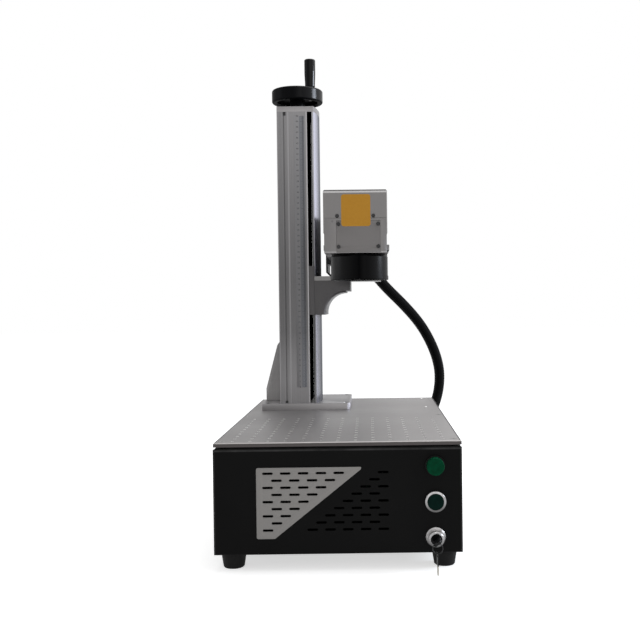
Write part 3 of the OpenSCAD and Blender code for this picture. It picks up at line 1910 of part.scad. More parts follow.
module galvo_mount() {
  wall = 4;
  back = head_back - head_wall;
  arm_z = beam_z + motor_reach + 9;
  arm_h = 12;
  clamp_l = 30;
  r = motor_d / 2 + wall;
  color([0.55, 0.55, 0.57])
    difference() {
      union() {
        translate([beam_x - r, lens_y - r, arm_z])
          cube([2 * r, back - lens_y + r, arm_h]);
        translate([lens_x - r, back - clamp_l, beam_z - r])
          cube([2 * r, clamp_l, arm_z + arm_h - beam_z + r]);
      }
      motor_x_body(motor_d + 2 * run, head_h);
      translate([0, -over, 0])
        motor_y_body(motor_d + 2 * run, head_d);
    }
}

module mirror_x() {
  w = 14;
  h = 20;
  color([0.85, 0.85, 0.88])
    union() {
      translate([beam_x, lens_y, beam_z + h / 2 - over])
        cylinder(h = mirror_shaft_l, d = mirror_shaft_d);
      translate([beam_x, lens_y, beam_z])
        rotate([0, 0, 45])
          cube([mirror_t, w, h], center = true);
    }
}

module mirror_y() {
  w = 20;
  l = 24;
  color([0.85, 0.85, 0.88])
    union() {
      front_cylinder(lens_x, lens_y + l / 2 - over + mirror_shaft_l, beam_z, mirror_shaft_l, mirror_shaft_d);
      translate([lens_x, lens_y, beam_z])
        rotate([0, -45, 0])
          cube([mirror_t, l, w], center = true);
    }
}

floor_panel();
side_panels();
front_panel();
rear_panel();
vent_trim();
feet();
cabinet_screws();
worktop();
worktop_gasket();
indicator_body();
indicator_lens();
button_ring();
button_cap();
button_spring();
key_switch_body();
key_barrel();
key();
key_ring();
spare_key();
laser_source();
electronics();
fan_frame();
fan_rotor();
fan_guard();
power_inlet();
lower_gland();
hose();
column_base();
column();
gusset();
column_cover();
column_cap();
column_screws();
ruler();
guide_rods();
lower_block();
bearings();
lead_screw();
handwheel();
grip_spindle();
grip();
carriage();
lead_nut();
slide_bushes();
arm_bracket();
arm_plate();
arm_screws();
cradle();
optics_box();
optics_tail();
isolator();
head_body();
head_cover();
head_plate();
head_screws();
lens();
galvo_mount();
galvo_motors();
mirror_x();
mirror_y();
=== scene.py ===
import json
import math

import bmesh
import bpy
import numpy as np
from mathutils import Matrix, Vector


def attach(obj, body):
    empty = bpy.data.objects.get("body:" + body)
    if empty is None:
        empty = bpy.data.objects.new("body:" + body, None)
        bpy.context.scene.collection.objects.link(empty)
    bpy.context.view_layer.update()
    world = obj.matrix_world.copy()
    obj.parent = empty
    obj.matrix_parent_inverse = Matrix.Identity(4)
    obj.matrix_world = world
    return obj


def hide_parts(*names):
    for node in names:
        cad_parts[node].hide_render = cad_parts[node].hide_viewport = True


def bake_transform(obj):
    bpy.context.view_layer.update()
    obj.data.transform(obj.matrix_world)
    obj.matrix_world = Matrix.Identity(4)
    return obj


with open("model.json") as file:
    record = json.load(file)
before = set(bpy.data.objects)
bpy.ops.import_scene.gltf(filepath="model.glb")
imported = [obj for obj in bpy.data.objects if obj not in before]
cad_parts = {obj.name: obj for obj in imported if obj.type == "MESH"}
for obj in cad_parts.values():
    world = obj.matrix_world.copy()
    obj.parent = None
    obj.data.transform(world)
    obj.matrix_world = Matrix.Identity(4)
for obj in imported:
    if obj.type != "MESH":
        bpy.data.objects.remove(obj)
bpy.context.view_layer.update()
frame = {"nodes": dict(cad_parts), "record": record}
nodes = frame["nodes"]
mm = 0.001
print("frame loaded:", len(nodes), "nodes")


camera = {
    "place": (0.047866, -1.569484, 0.372612),
    "yaw": 0.44448,
    "pitch": 0.94072,
    "roll": -0.65554,
    "lens": 50.982,
    "sensor": 36,
    "shift": (-0.0891, 0.0),
    "clip": (0.05, 50),
}


def cameraAxes(yaw, pitch, roll):
    # rows: picture right, picture down and the way ahead, in the object's frame
    cy, sy = math.cos(yaw), math.sin(yaw)
    cp, sp = math.cos(pitch), math.sin(pitch)
    cr, sr = math.cos(roll), math.sin(roll)
    ahead = np.array([[1, 0, 0], [0, 0, -1], [0, 1, 0]], float)
    turn = np.array([[cy, 0, -sy], [0, 1, 0], [sy, 0, cy]])
    nod = np.array([[1, 0, 0], [0, cp, -sp], [0, sp, cp]])
    tilt = np.array([[cr, -sr, 0], [sr, cr, 0], [0, 0, 1]])
    return tilt @ nod @ turn @ ahead


def makeCamera(c):
    right, down, ahead = cameraAxes(*(math.radians(c[k]) for k in ("yaw", "pitch", "roll")))
    data = bpy.data.cameras.new("photoCamera")
    data.lens, data.sensor_width = c["lens"], c["sensor"]
    data.shift_x, data.shift_y = c["shift"]
    data.clip_start, data.clip_end = c["clip"]
    shot = bpy.data.objects.new("photoCamera", data)
    axes = np.eye(4)
    axes[:3, 0], axes[:3, 1], axes[:3, 2], axes[:3, 3] = right, -down, -ahead, c["place"]
    shot.matrix_world = Matrix(axes.tolist())
    bpy.context.scene.collection.objects.link(shot)
    bpy.context.scene.camera = shot


makeCamera(camera)


class Wire:
    # an output socket that adds Math nodes when it is calculated with
    def __init__(self, recipe, socket):
        self.recipe, self.socket = recipe, socket

    def maths(self, operation, a, b):
        return self.recipe.node("ShaderNodeMath", {"operation": operation}, {0: a, 1: b})

    def __add__(self, other):
        return self.maths("ADD", self, other)

    def __sub__(self, other):
        return self.maths("SUBTRACT", self, other)

    def __rsub__(self, other):
        return self.maths("SUBTRACT", other, self)

    def __mul__(self, other):
        return self.maths("MULTIPLY", self, other)


class Recipe:
    # one material, and the nodes it is made of
    def __init__(self):
        self.material = bpy.data.materials.new("finish")
        self.material.use_nodes = True
        self.tree = self.material.node_tree
        self.tree.nodes.clear()
        self.end = self.tree.nodes.new("ShaderNodeOutputMaterial")

    def plug(self, socket, value):
        if isinstance(value, Wire):
            self.tree.links.new(value.socket, socket)
        elif isinstance(value, tuple) and len(value) == 3 and socket.type == "RGBA":
            socket.default_value = (*value, 1)
        else:
            socket.default_value = value

    def node(self, kind, settings=None, sockets=None, out=0):
        made = self.tree.nodes.new(kind)
        for key, value in (settings or {}).items():
            if key == "stops":
                ramp = made.color_ramp
                while len(ramp.elements) < len(value):
                    ramp.elements.new(0.5)
                for element, (place, grey) in zip(ramp.elements, value):
                    element.position = place
                    element.color = (grey, grey, grey, 1)
            else:
                setattr(made, key, value)
        for key, value in (sockets or {}).items():
            self.plug(made.inputs[key], value)
        return Wire(self, made.outputs[out])

    def place(self, scale=(1, 1, 1)):
        coords = self.node("ShaderNodeTexCoord", out="Object")
        return self.node("ShaderNodeMapping", None, {"Vector": coords, "Scale": scale})

    def axes(self, vector):
        split = self.node("ShaderNodeSeparateXYZ", None, {0: vector})
        outs = split.socket.node.outputs
        return [Wire(self, outs[i]) for i in range(3)]

    def spot(self):
        # x, y and z of the surface's point, in metres
        return self.axes(self.place())

    def facing(self):
        # the three parts of the surface's normal: right, back and up
        return self.axes(self.node("ShaderNodeNewGeometry", out="Normal"))

    def noise(self, vector, scale, detail, roughness):
        return self.node(
            "ShaderNodeTexNoise", None,
            {"Vector": vector, "Scale": scale, "Detail": detail, "Roughness": roughness},
        )

    def absolute(self, value):
        return self.node("ShaderNodeMath", {"operation": "ABSOLUTE"}, {0: value})

    def span(self, value, low, high, toLow=0.0, toHigh=1.0):
        return self.node(
            "ShaderNodeMapRange", {"clamp": True},
            {"Value": value, "From Min": low, "From Max": high, "To Min": toLow, "To Max": toHigh},
        )

    def around(self, field, middle, less, more):
        # a noise field, most of which lies between 0.3 and 0.7, spread round the middle
        return self.span(field, 0.3, 0.7, middle - less, middle + more)

    def bands(self, value, rows):
        # 1 inside each (middle, width) of the value, falling off softly over the width
        total = 0.0
        for middle, width in rows:
            total = self.span(self.absolute(value - middle), width, width / 2) + total
        return total

    def mix(self, share, a, b):
        # in its colour mode a Mix node reads sockets 0, 6 and 7 and writes output 2
        return self.node("ShaderNodeMix", {"data_type": "RGBA"}, {0: share, 6: a, 7: b}, out=2)

    def grey(self, value, reach, stops):
        # a grey that follows the stops while the value goes over its reach
        return self.node("ShaderNodeValToRGB", {"stops": stops}, {0: self.span(value, *reach)})

    def level(self, value, reach, stops, tone):
        return self.mix(self.grey(value, reach, stops), (0, 0, 0), tone)

    def bump(self, height, distance, strength):
        return self.node(
            "ShaderNodeBump", None, {"Height": height, "Distance": distance, "Strength": strength}
        )

    def surface(self, sockets):
        return self.node("ShaderNodeBsdfPrincipled", None, sockets)

    def finish(self, shader):
        self.tree.links.new(shader.socket, self.end.inputs["Surface"])
        return self.material


dustTone = (0.02, 0.0195, 0.019)
# flat black laid over as painted shade inside hollows and under the column's cap
paintedShadowBlack = (0.0015, 0.0015, 0.0016)


def scaled(colour, share, extra=0.0):
    return tuple(c * share + extra for c in colour)


def powderCoat(colour, roughness=0.5, shine=0.12, shade=None):
    # fine orange peel over black paint, with dust that lies on faces turned up
    r = Recipe()
    at = r.place()
    grain = r.noise(at, 1900, 2, 0.6)
    cloud = r.noise(at, 9, 4, 0.55)
    dusty = r.span(r.facing()[2], 0.4, 1.0) * r.span(r.noise(at, 60, 5, 0.7), 0.4, 0.7, 0.0, 0.5)
    tone = r.mix(r.span(cloud, 0.3, 0.7), colour, scaled(colour, 1.25, 0.0012))
    tone = r.mix(dusty, tone, dustTone)
    if shade:
        tone = shade(r, tone)
    return r.finish(r.surface({
        "Base Color": tone,
        "Specular IOR Level": shine,
        "Roughness": r.around(grain, roughness, 0.07, 0.1),
        "Normal": r.bump(grain, 0.00006, 0.6),
    }))


# noise scales that draw the brush's lines out along one axis
brushScales = {
    "x": (14, 900, 900),
    "y": (900, 14, 900),
    "z": (900, 900, 14),
    None: (700, 700, 700),
}


def anodised(colour, brushed, roughness, metal, contrast, shade=None, paintedLightLayers=None):
    # clear-anodised aluminium: lines of the brush along one axis and a soft cloud of tone;
    # paintedLightLayers gives rows of (share, tone), each a flat tone laid over what is there as
    # painted light and shade
    r = Recipe()
    at = r.place()
    lines = r.noise(r.place(scale=brushScales[brushed]), 1, 2, 0.6)
    cloud = r.noise(at, 7, 4, 0.55)
    specks = r.noise(at, 420, 2, 0.6)
    dark, pale = scaled(colour, 1 - contrast), scaled(colour, 1 + contrast)
    tone = r.mix(r.span(lines * 0.6 + cloud * 0.4, 0.35, 0.65), dark, pale)
    tone = r.mix(r.span(specks, 0.68, 0.8, 0.0, 0.35), tone, dark)
    if shade:
        tone = shade(r, tone)
    skin = r.surface({
        "Base Color": tone,
        "Metallic": metal,
        "Roughness": r.around(lines * 0.5 + cloud * 0.5, roughness, 0.08, 0.1),
        "Normal": r.bump(lines * 0.7 + specks * 0.3, 0.00004, 0.35),
    })
    for share, flatTone in paintedLightLayers(r) if paintedLightLayers else []:
        flat = r.node("ShaderNodeBsdfDiffuse", None, {"Color": flatTone})
        skin = r.node("ShaderNodeMixShader", None, {0: share, 1: skin, 2: flat})
    return r.finish(skin)


# a look's places are in metres: a change is (from, to) and a band (middle, width)
columnLook = {
    "reach": (0.2, 0.74),  # height over which the tones of the column and its cover change
    # levels: painted light and shade on the column by height, paler at its foot and top
    "levels": [(0.0, 0.77), (0.06, 0.73), (0.233, 0.37), (0.406, 0.345), (0.68, 0.48), (0.85, 0.6),
               (1.0, 0.7)],
    "leftPart": (-0.1112, -0.11),
    # the groove and its two ends take painted shade; the ribs and the slot's rim take painted
    # highlights
    "groove": (-0.1077, 0.0016),
    "grooveShadeTone": (0.02, 0.02, 0.02),
    "grooveEnds": [((-0.1077, 0.0032), (0.195, 0.003)), ((-0.1058, 0.0034), (0.7275, 0.005))],
    "grooveEndShadeTone": (0.004, 0.004, 0.004),
    "ribs": [(-0.0994, 0.0016), (-0.1192, 0.0012)],
    "slotRim": (-0.0652, 0.0018),
    "paintedHighlightTone": (0.42, 0.41, 0.42),
    "insideFront": (0.1125, 0.1138),
    "insideRear": (0.2155, 0.2142),
    "insideLeft": (-0.1095, -0.1085),
    "slotFace": (-0.0668, -0.066),
}


def columnShade(r, tone):
    # extruded column: painted light by height, paler at its ends; a tenth darker left of its
    # groove; painted shade in the groove and at its ends; painted highlights on its ribs and slot
    # rim
    x, _, z = r.spot()
    look = columnLook
    tone = r.level(z, look["reach"], look["levels"], tone)
    tone = r.mix(r.span(x, *look["leftPart"], 0.1, 0.0), tone, (0, 0, 0))
    tone = r.mix(r.bands(x, [look["groove"]]) * 0.4, tone, look["grooveShadeTone"])
    foot, top = (r.bands(x, [across]) * r.bands(z, [up]) for across, up in look["grooveEnds"])
    tone = r.mix((foot + top) * 0.85, tone, look["grooveEndShadeTone"])
    # painted highlights along the ribs and on the slot's rim
    lines = r.bands(x, look["ribs"]) * 0.3 + r.bands(x, [look["slotRim"]]) * 0.75
    return r.mix(lines, tone, look["paintedHighlightTone"])


def columnDull(r):
    # column: painted shade: flat black laid over its inside and the face of its slot
    x, y, _ = r.spot()
    look = columnLook
    inside = r.span(y, *look["insideFront"]) * r.span(y, *look["insideRear"])
    inside = inside * r.span(x, *look["insideLeft"])
    slotFace = r.span(r.facing()[0], 0.5, 0.8) * r.span(x, *look["slotFace"])
    return [(r.span(inside + slotFace, 0.0, 1.0), paintedShadowBlack)]


stripLook = {"leftPart": (-0.0795, -0.0785), "leftTone": (0.36, 0.355, 0.365)}


def stripShade(r, tone):
    # scale strip: paler on its left part, and takes the column's painted light by height
    x, _, z = r.spot()
    tone = r.mix(r.span(x, *stripLook["leftPart"]), stripLook["leftTone"], tone)
    return r.level(z, columnLook["reach"], columnLook["levels"], tone)


def capDull(r):
    # column cap: painted shade on its underside
    return [(r.span(r.facing()[2], -0.5, -0.8), paintedShadowBlack)]


gussetLook = {
    "reach": (0.193, 0.293),
    "levels": [(0.0, 1.0), (0.2, 0.95), (0.5, 0.63), (1.0, 0.5)],
}


def gussetShade(r, tone):
    # gusset: painted light, paler towards the base
    return r.level(r.spot()[2], gussetLook["reach"], gussetLook["levels"], tone)


plateLook = {"paintedSideTone": (0.325, 0.315, 0.318), "facetHighlightTone": (0.42, 0.405, 0.43)}


def plateShade(r, tone):
    # base plate: painted light makes its sides a little paler than its top, and a painted highlight
    # makes its corner facets paler still
    right, _, up = r.facing()
    tone = r.mix(r.span(up, 0.7, 0.3), tone, plateLook["paintedSideTone"])
    return r.mix(r.span(right, 0.4, 0.7), tone, plateLook["facetHighlightTone"])


worktopLook = {
    "reach": (-0.175, 0.175),
    # painted light across the worktop, growing to the right
    "levels": [(0.0, 0.63), (0.25, 0.68), (0.4, 0.88), (0.58, 0.7), (0.8, 0.94), (1.0, 1.0)],
    "sideFaceShadeTone": (0.059, 0.052, 0.051),
    "chamferShadeTone": (0.045, 0.043, 0.043),
    "frontChamferHighlightTone": (0.4, 0.385, 0.38),
    "sides": [(-0.1738, 0.0018), (0.1738, 0.0018)],
    "back": (0.2958, 0.003),
    "rimShadeTone": (0.02, 0.019, 0.019),
}


def worktopShade(r, tone):
    # worktop: painted light that grows to the right; painted shade on its upright sides and on the
    # chamfer of its sides and back, and a painted highlight on the front chamfer
    _, back, up = r.facing()
    look = worktopLook
    tone = r.level(r.spot()[0], look["reach"], look["levels"], tone)
    chamfer = r.mix(r.span(back, -0.3, -0.6), look["chamferShadeTone"], look["frontChamferHighlightTone"])
    tone = r.mix(r.span(up, 0.9, 0.8), tone, chamfer)
    return r.mix(r.span(up, 0.5, 0.2), tone, look["sideFaceShadeTone"])


def worktopDull(r):
    # worktop: a thin line of painted shade along its sides and back
    x, y, _ = r.spot()
    rims = r.bands(x, worktopLook["sides"]) + r.bands(y, [worktopLook["back"]])
    onTop = r.span(r.facing()[2], 0.9, 0.95)
    return [(r.span(rims, 0.0, 1.0, 0.0, 0.8) * onTop, worktopLook["rimShadeTone"])]


coverLook = {
    # painted light on the cover by height
    "levels": [(0.0, 0.6), (0.15, 0.58), (0.3, 0.66), (0.45, 0.76), (0.6, 1.0), (0.85, 0.97),
               (1.0, 1.0)],
    # painted shade across its lower half, darker to the right
    "across": [(0.35, 1.0), (0.5, 0.78), (0.62, 0.62), (0.8, 0.54), (1.0, 0.42)],
    "acrossReach": (-0.0564, -0.0444),
    "acrossBelow": (0.42, 0.58),
    "edgeLevels": [(0.0, 0.6), (0.046, 0.55), (0.12, 0.42), (0.24, 0.38), (0.4, 0.4), (0.81, 0.88),
                   (1.0, 0.9)],
    "edge": (-0.0535, -0.052),
    "edgePaintedLightTone": (0.36, 0.355, 0.37),
    "flatEdge": (-0.0522, -0.053),
    "flatEdgePaintedTone": (0.56, 0.555, 0.57),
    "side": (0.112, 0.145),
    "paintedSideTone": (0.13, 0.13, 0.135),
    "inside": (-0.0552, -0.0558),
}


def coverShade(r, tone):
    # column cover: painted light by height; painted shade towards the right in its lower half; a
    # square edge whose painted light dims midway up
    x, _, z = r.spot()
    look = coverLook
    reach = columnLook["reach"]
    tone = r.level(z, reach, look["levels"], tone)
    paintedShadeBelow = r.level(x, look["acrossReach"], look["across"], tone)
    tone = r.mix(r.span(z, *look["acrossBelow"]), paintedShadeBelow, tone)
    edgePaintedLightTone = r.level(z, reach, look["edgeLevels"], look["edgePaintedLightTone"])
    return r.mix(r.span(x, *look["edge"]), edgePaintedLightTone, tone)


def coverDull(r):
    # column cover: painted shade towards the back, a flat tone on its square edge darkened midway
    # up as painted shade, and painted shade black inside
    x, y, z = r.spot()
    look = coverLook
    flatEdge = r.span(x, *look["flatEdge"])
    dim = 1 - r.grey(z, columnLook["reach"], look["edgeLevels"])
    inside = r.span(r.facing()[0], -0.5, -0.8) + r.span(x, *look["inside"])
    return [
        (r.span(y, *look["side"], 0.0, 0.9), look["paintedSideTone"]),
        (flatEdge * 0.85, look["flatEdgePaintedTone"]),
        (r.span(flatEdge * dim + inside, 0.0, 1.0), paintedShadowBlack),
    ]


headLook = {
    "foldedTop": (0.5468, 0.0017),
    "foldedTopHighlightTone": (0.5, 0.49, 0.49),
    "rightEdge": (0.0758, 0.0009),
    "rightTone": (0.42, 0.41, 0.41),
    "lowerEdge": (0.4542, 0.0018),
    "lowerEdgeHighlightTone": (0.4, 0.39, 0.39),
    "seam": (0.5497, 0.0011),
    "seamTone": (0.02, 0.02, 0.02),
}


def headShade(r, tone):
    # scan head: a thin dark seam line along its top edge over a painted highlight where a rolled
    # edge would catch the light, and painted highlights on its right and lower edges
    x, _, z = r.spot()
    front = r.span(r.facing()[1], -0.7, -0.9)
    look = headLook
    tone = r.mix(r.bands(z, [look["foldedTop"]]) * front * 0.9, tone, look["foldedTopHighlightTone"])
    # painted highlight on the right edge
    tone = r.mix(r.bands(x, [look["rightEdge"]]) * front * 0.6, tone, look["rightTone"])
    tone = r.mix(r.bands(z, [look["lowerEdge"]]) * front * 0.5, tone, look["lowerEdgeHighlightTone"])
    return r.mix(r.bands(z, [look["seam"]]) * 0.85, tone, look["seamTone"])


cradleLook = {
    "lip": (0.4738, 0.4742),
    "lipTone": (0.17, 0.163, 0.162),
    "rightPart": (0.055, 0.08),
    "rightTone": (0.32, 0.31, 0.31),
}


def lipShade(r, tone):
    # cradle: its rolled lip is bare metal, brighter at the right
    x, _, z = r.spot()
    look = cradleLook
    lip = r.mix(r.span(x, *look["rightPart"]), look["lipTone"], look["rightTone"])
    return r.mix(r.span(z, *look["lip"]), tone, lip)


cabinetLook = {
    "sides": [(-0.1736, 0.0009), (0.1736, 0.0009)],
    "top": (0.1702, 0.0016),
    "foldHighlightTone": (0.055, 0.054, 0.054),
}


def cabinetShade(r, tone):
    # cabinet: painted highlights along the front's folded edges, broken up by noise
    x, _, z = r.spot()
    front = r.span(r.facing()[1], -0.7, -0.9)
    # noise that breaks the painted highlights into patches
    worn = r.span(r.noise(r.place(), 45, 4, 0.6), 0.35, 0.65, 0.4, 1.0)
    edges = r.bands(x, cabinetLook["sides"]) + r.bands(z, [cabinetLook["top"]])
    return r.mix(edges * front * worn * 0.8, tone, cabinetLook["foldHighlightTone"])


boxLook = {
    "lid": (0.5185, 0.519),
    "lidTone": (0.24, 0.235, 0.235),
    "seam": (0.5182, 0.0006),
    "seamTone": (0.001, 0.001, 0.001),
}


def lidShade(r, tone):
    # optics box: its lid is bare metal, with a dark seam below it
    z = r.spot()[2]
    tone = r.mix(r.span(z, *boxLook["lid"]), tone, boxLook["lidTone"])
    return r.mix(r.bands(z, [boxLook["seam"]]), tone, boxLook["seamTone"])


# heights of the key switch's middle, of the button's, and of the gap between the two
platedLook = {"lower": 0.0455, "upper": 0.0965, "between": (0.0709, 0.0711)}


def plated(colour, roughness, under):
    # bright plating with faint stains, and painted shade towards the foot of each of the two round
    # controls and on faces turned down
    r = Recipe()
    z = r.spot()[2]
    stain = r.noise(r.place(), 140, 4, 0.6)
    dark = scaled(colour, under)
    middle = r.span(z, *platedLook["between"], platedLook["lower"], platedLook["upper"])
    # painted shade low on each control and on faces turned down
    upper = r.span(z - middle, -0.013, 0.011) * 0.7 + r.span(r.facing()[2], -0.4, 0.5) * 0.3
    tone = r.mix(upper, dark, colour)
    return r.finish(r.surface({
        "Base Color": r.mix(r.span(stain, 0.45, 0.75, 0.0, 0.4), tone, dark),
        "Metallic": 1.0,
        "Roughness": r.around(stain, roughness, 0.04, 0.1),
    }))


def keyFinish(split):
    # black moulded head above the height split, and a worn steel blade below it
    r = Recipe()
    blade = r.span(r.spot()[2], split + 0.0003, split - 0.0003)
    worn = r.noise(r.place(scale=(900, 900, 200)), 1, 3, 0.6)
    metal = r.mix(r.span(worn, 0.35, 0.65), (0.33, 0.3, 0.24), (0.16, 0.145, 0.115))
    return r.finish(r.surface({
        "Base Color": r.mix(blade, (0.0025, 0.0025, 0.003), metal),
        "Metallic": blade,
        "Specular IOR Level": 0.2,
        "Roughness": r.span(worn, 0.3, 0.7, 0.28, 0.45),
    }))


def steel(colour, roughness):
    # steel or brass, turned, with darker stains
    r = Recipe()
    turned = r.noise(r.place(scale=(700, 700, 2400)), 1, 2, 0.5)
    stain = r.noise(r.place(), 90, 4, 0.6)
    return r.finish(r.surface({
        "Base Color": r.mix(r.span(stain, 0.42, 0.72), colour, scaled(colour, 0.72)),
        "Metallic": 1.0,
        "Roughness": r.around(turned, roughness, 0.06, 0.12),
        "Normal": r.bump(turned, 0.00003, 0.3),
    }))


def mouldMarks(r):
    # faint upright marks of handling on a moulding
    return r.noise(r.place(scale=(260, 260, 60)), 1, 4, 0.65)


def plastic(colour, roughness, grain=900, shine=0.3):
    r = Recipe()
    skin = r.noise(r.place(), grain, 2, 0.5)
    marks = mouldMarks(r)
    return r.finish(r.surface({
        "Base Color": r.mix(r.span(marks, 0.35, 0.75), colour, scaled(colour, 1.35, 0.001)),
        "Roughness": r.span(marks, 0.3, 0.75, roughness - 0.04, roughness + 0.16),
        "Specular IOR Level": shine,
        "Normal": r.bump(skin, 0.00003, 0.4),
    }))


def lacquer(colour, roughness, low, high, aim, both=False):
    # black moulding with a painted sheen: its coat grows where the surface turns the aim's way,
    # towards the lamps (both ways when asked), and goes away on faces turned down
    r = Recipe()
    right, back, up = r.facing()
    turned = right * aim[0] + back * aim[1] + up * aim[2]
    if both:
        turned = r.absolute(turned)
    pale = scaled(colour, 1.35, 0.0005)
    return r.finish(r.surface({
        "Base Color": r.mix(r.span(mouldMarks(r), 0.35, 0.75), colour, pale),
        "Roughness": 0.5,
        "Specular IOR Level": 0.02,
        # painted sheen towards the lamps, none on faces turned down
        "Coat Weight": r.span(turned, 0.0, 0.8, low, high) * r.span(up, -0.7, -0.3),
        "Coat Roughness": roughness,
    }))


def rubber(colour):
    r = Recipe()
    at = r.place()
    skin = r.noise(at, 700, 4, 0.7)
    dusty = r.noise(at, 55, 4, 0.65)
    return r.finish(r.surface({
        "Base Color": r.mix(r.span(dusty, 0.4, 0.75, 0.0, 0.7), colour, dustTone),
        "Specular IOR Level": 0.15,
        "Roughness": r.span(dusty, 0.3, 0.7, 0.55, 0.8),
        "Normal": r.bump(skin, 0.00008, 0.6),
    }))


def tinted(colour, edge):
    # moulded green cap: its tone and gloss swirl a little
    r = Recipe()
    swirl = r.noise(r.place(), 160, 3, 0.5)
    return r.finish(r.surface({
        "Base Color": r.mix(r.span(swirl, 0.35, 0.7), colour, edge),
        "Specular IOR Level": 0.03,
        "Roughness": r.span(swirl, 0.3, 0.7, 0.18, 0.3),
        "Normal": r.bump(swirl, 0.00006, 0.3),
    }))


def decalVinyl(colour, rim):
    # printed vinyl: even colour with faint mottling
    r = Recipe()
    mottle = r.noise(r.place(), 260, 4, 0.6)
    return r.finish(r.surface({
        "Base Color": r.mix(r.span(mottle, 0.35, 0.7, 0.0, 0.5), colour, rim),
        "Specular IOR Level": 0.25,
        "Roughness": r.span(mottle, 0.3, 0.7, 0.35, 0.5),
    }))


def markInk(colour):
    # dark print, worn in places
    r = Recipe()
    worn = r.noise(r.place(), 500, 4, 0.65)
    return r.finish(r.surface({
        "Base Color": r.mix(r.span(worn, 0.55, 0.8, 0.0, 0.6), colour, (0.09, 0.09, 0.1)),
        "Specular IOR Level": 0.2,
        "Roughness": r.span(worn, 0.3, 0.7, 0.45, 0.6),
    }))


finish = {
    "cabinetBlack": powderCoat((0.0015, 0.0015, 0.0015), shine=0.06, shade=cabinetShade),
    "cradleBlack": powderCoat((0.005, 0.005, 0.0055), 0.42, 0.2, lipShade),
    "boxBlack": powderCoat((0.009, 0.009, 0.0095), 0.45, 0.15, lidShade),
    "worktopAlu": anodised((0.29, 0.276, 0.274), "x", 0.46, 0.6, 0.05, worktopShade, worktopDull),
    "trimAlu": anodised((0.198, 0.19, 0.182), None, 0.5, 0.4, 0.07),
    "columnAlu": anodised((0.3, 0.294, 0.3), "z", 0.38, 0.7, 0.1, columnShade, columnDull),
    "plateAlu": anodised((0.24, 0.232, 0.236), "x", 0.42, 0.6, 0.08, plateShade),
    "capAlu": anodised((0.27, 0.26, 0.262), "z", 0.42, 0.65, 0.08, paintedLightLayers=capDull),
    "gussetAlu": anodised((0.333, 0.325, 0.325), "z", 0.42, 0.65, 0.08, gussetShade),
    # the cover's bluish tint is painted light: it stands in for the cool light from the right
    "coverAlu": anodised((0.57, 0.572, 0.7), "z", 0.24, 0.85, 0.04, coverShade, coverDull),
    "headAlu": anodised((0.172, 0.165, 0.163), None, 0.45, 0.5, 0.05, headShade),
    "headPlateAlu": anodised((0.137, 0.13, 0.128), None, 0.45, 0.5, 0.05),
    "armAlu": anodised((0.066, 0.063, 0.064), "y", 0.45, 0.55, 0.08),
    "armPlateAlu": anodised((0.22, 0.215, 0.21), "y", 0.45, 0.55, 0.06),
    "castAlu": anodised((0.2, 0.2, 0.2), None, 0.55, 0.7, 0.14),
    "scaleStrip": anodised((0.24, 0.247, 0.268), "z", 0.4, 0.6, 0.05, stripShade),
    "brightSteel": steel((0.5, 0.5, 0.5), 0.25),
    "darkSteel": steel((0.035, 0.035, 0.036), 0.32),
    "screwSteel": steel((0.17, 0.165, 0.16), 0.36),
    "insertSteel": steel((0.85, 0.84, 0.82), 0.3),
    "chrome": plated((0.48, 0.47, 0.47), 0.2, 0.1),
    "bronze": steel((0.45, 0.3, 0.13), 0.35),
    "blackPlastic": plastic((0.004, 0.004, 0.004), 0.4, shine=0.1),
    "gripBlack": lacquer((0.0012, 0.0012, 0.0014), 0.07, 0.15, 0.8, (0.8, 0, 0.6)),
    "wheelBlack": lacquer((0.0022, 0.0023, 0.0028), 0.18, 0.045, 0.6, (0.7, 0, 0.7)),
    "hoseBlack": plastic((0.0004, 0.0004, 0.0005), 0.42, 500, 0.045),
    "lensBlack": lacquer((0.0002, 0.0002, 0.0004), 0.2, 0.0, 0.3, (1, 0, 0), both=True),
    "slotShadeBlack": plastic((0.0003, 0.0003, 0.0003), 0.5, shine=0.0),
    "sourceBlack": powderCoat((0.0015, 0.0015, 0.0015), shine=0.05),
    "motorBlack": plastic((0.03, 0.03, 0.032), 0.35),
    "footRubber": rubber((0.003, 0.003, 0.003)),
    "lampGreen": tinted((0.0, 0.036, 0.014), (0.0, 0.054, 0.022)),
    "buttonGreen": tinted((0.0006, 0.009, 0.0066), (0.0006, 0.013, 0.0095)),
    "board": plastic((0.02, 0.12, 0.06), 0.4),
    "mirrorGlass": steel((0.85, 0.85, 0.87), 0.07),
    "spareKey": keyFinish(0.01465),
    "keyBlack": keyFinish(-1.0),
    "amberVinyl": decalVinyl((0.5, 0.235, 0.012), (0.44, 0.2, 0.012)),
    "markInk": markInk((0.012, 0.012, 0.014)),
}
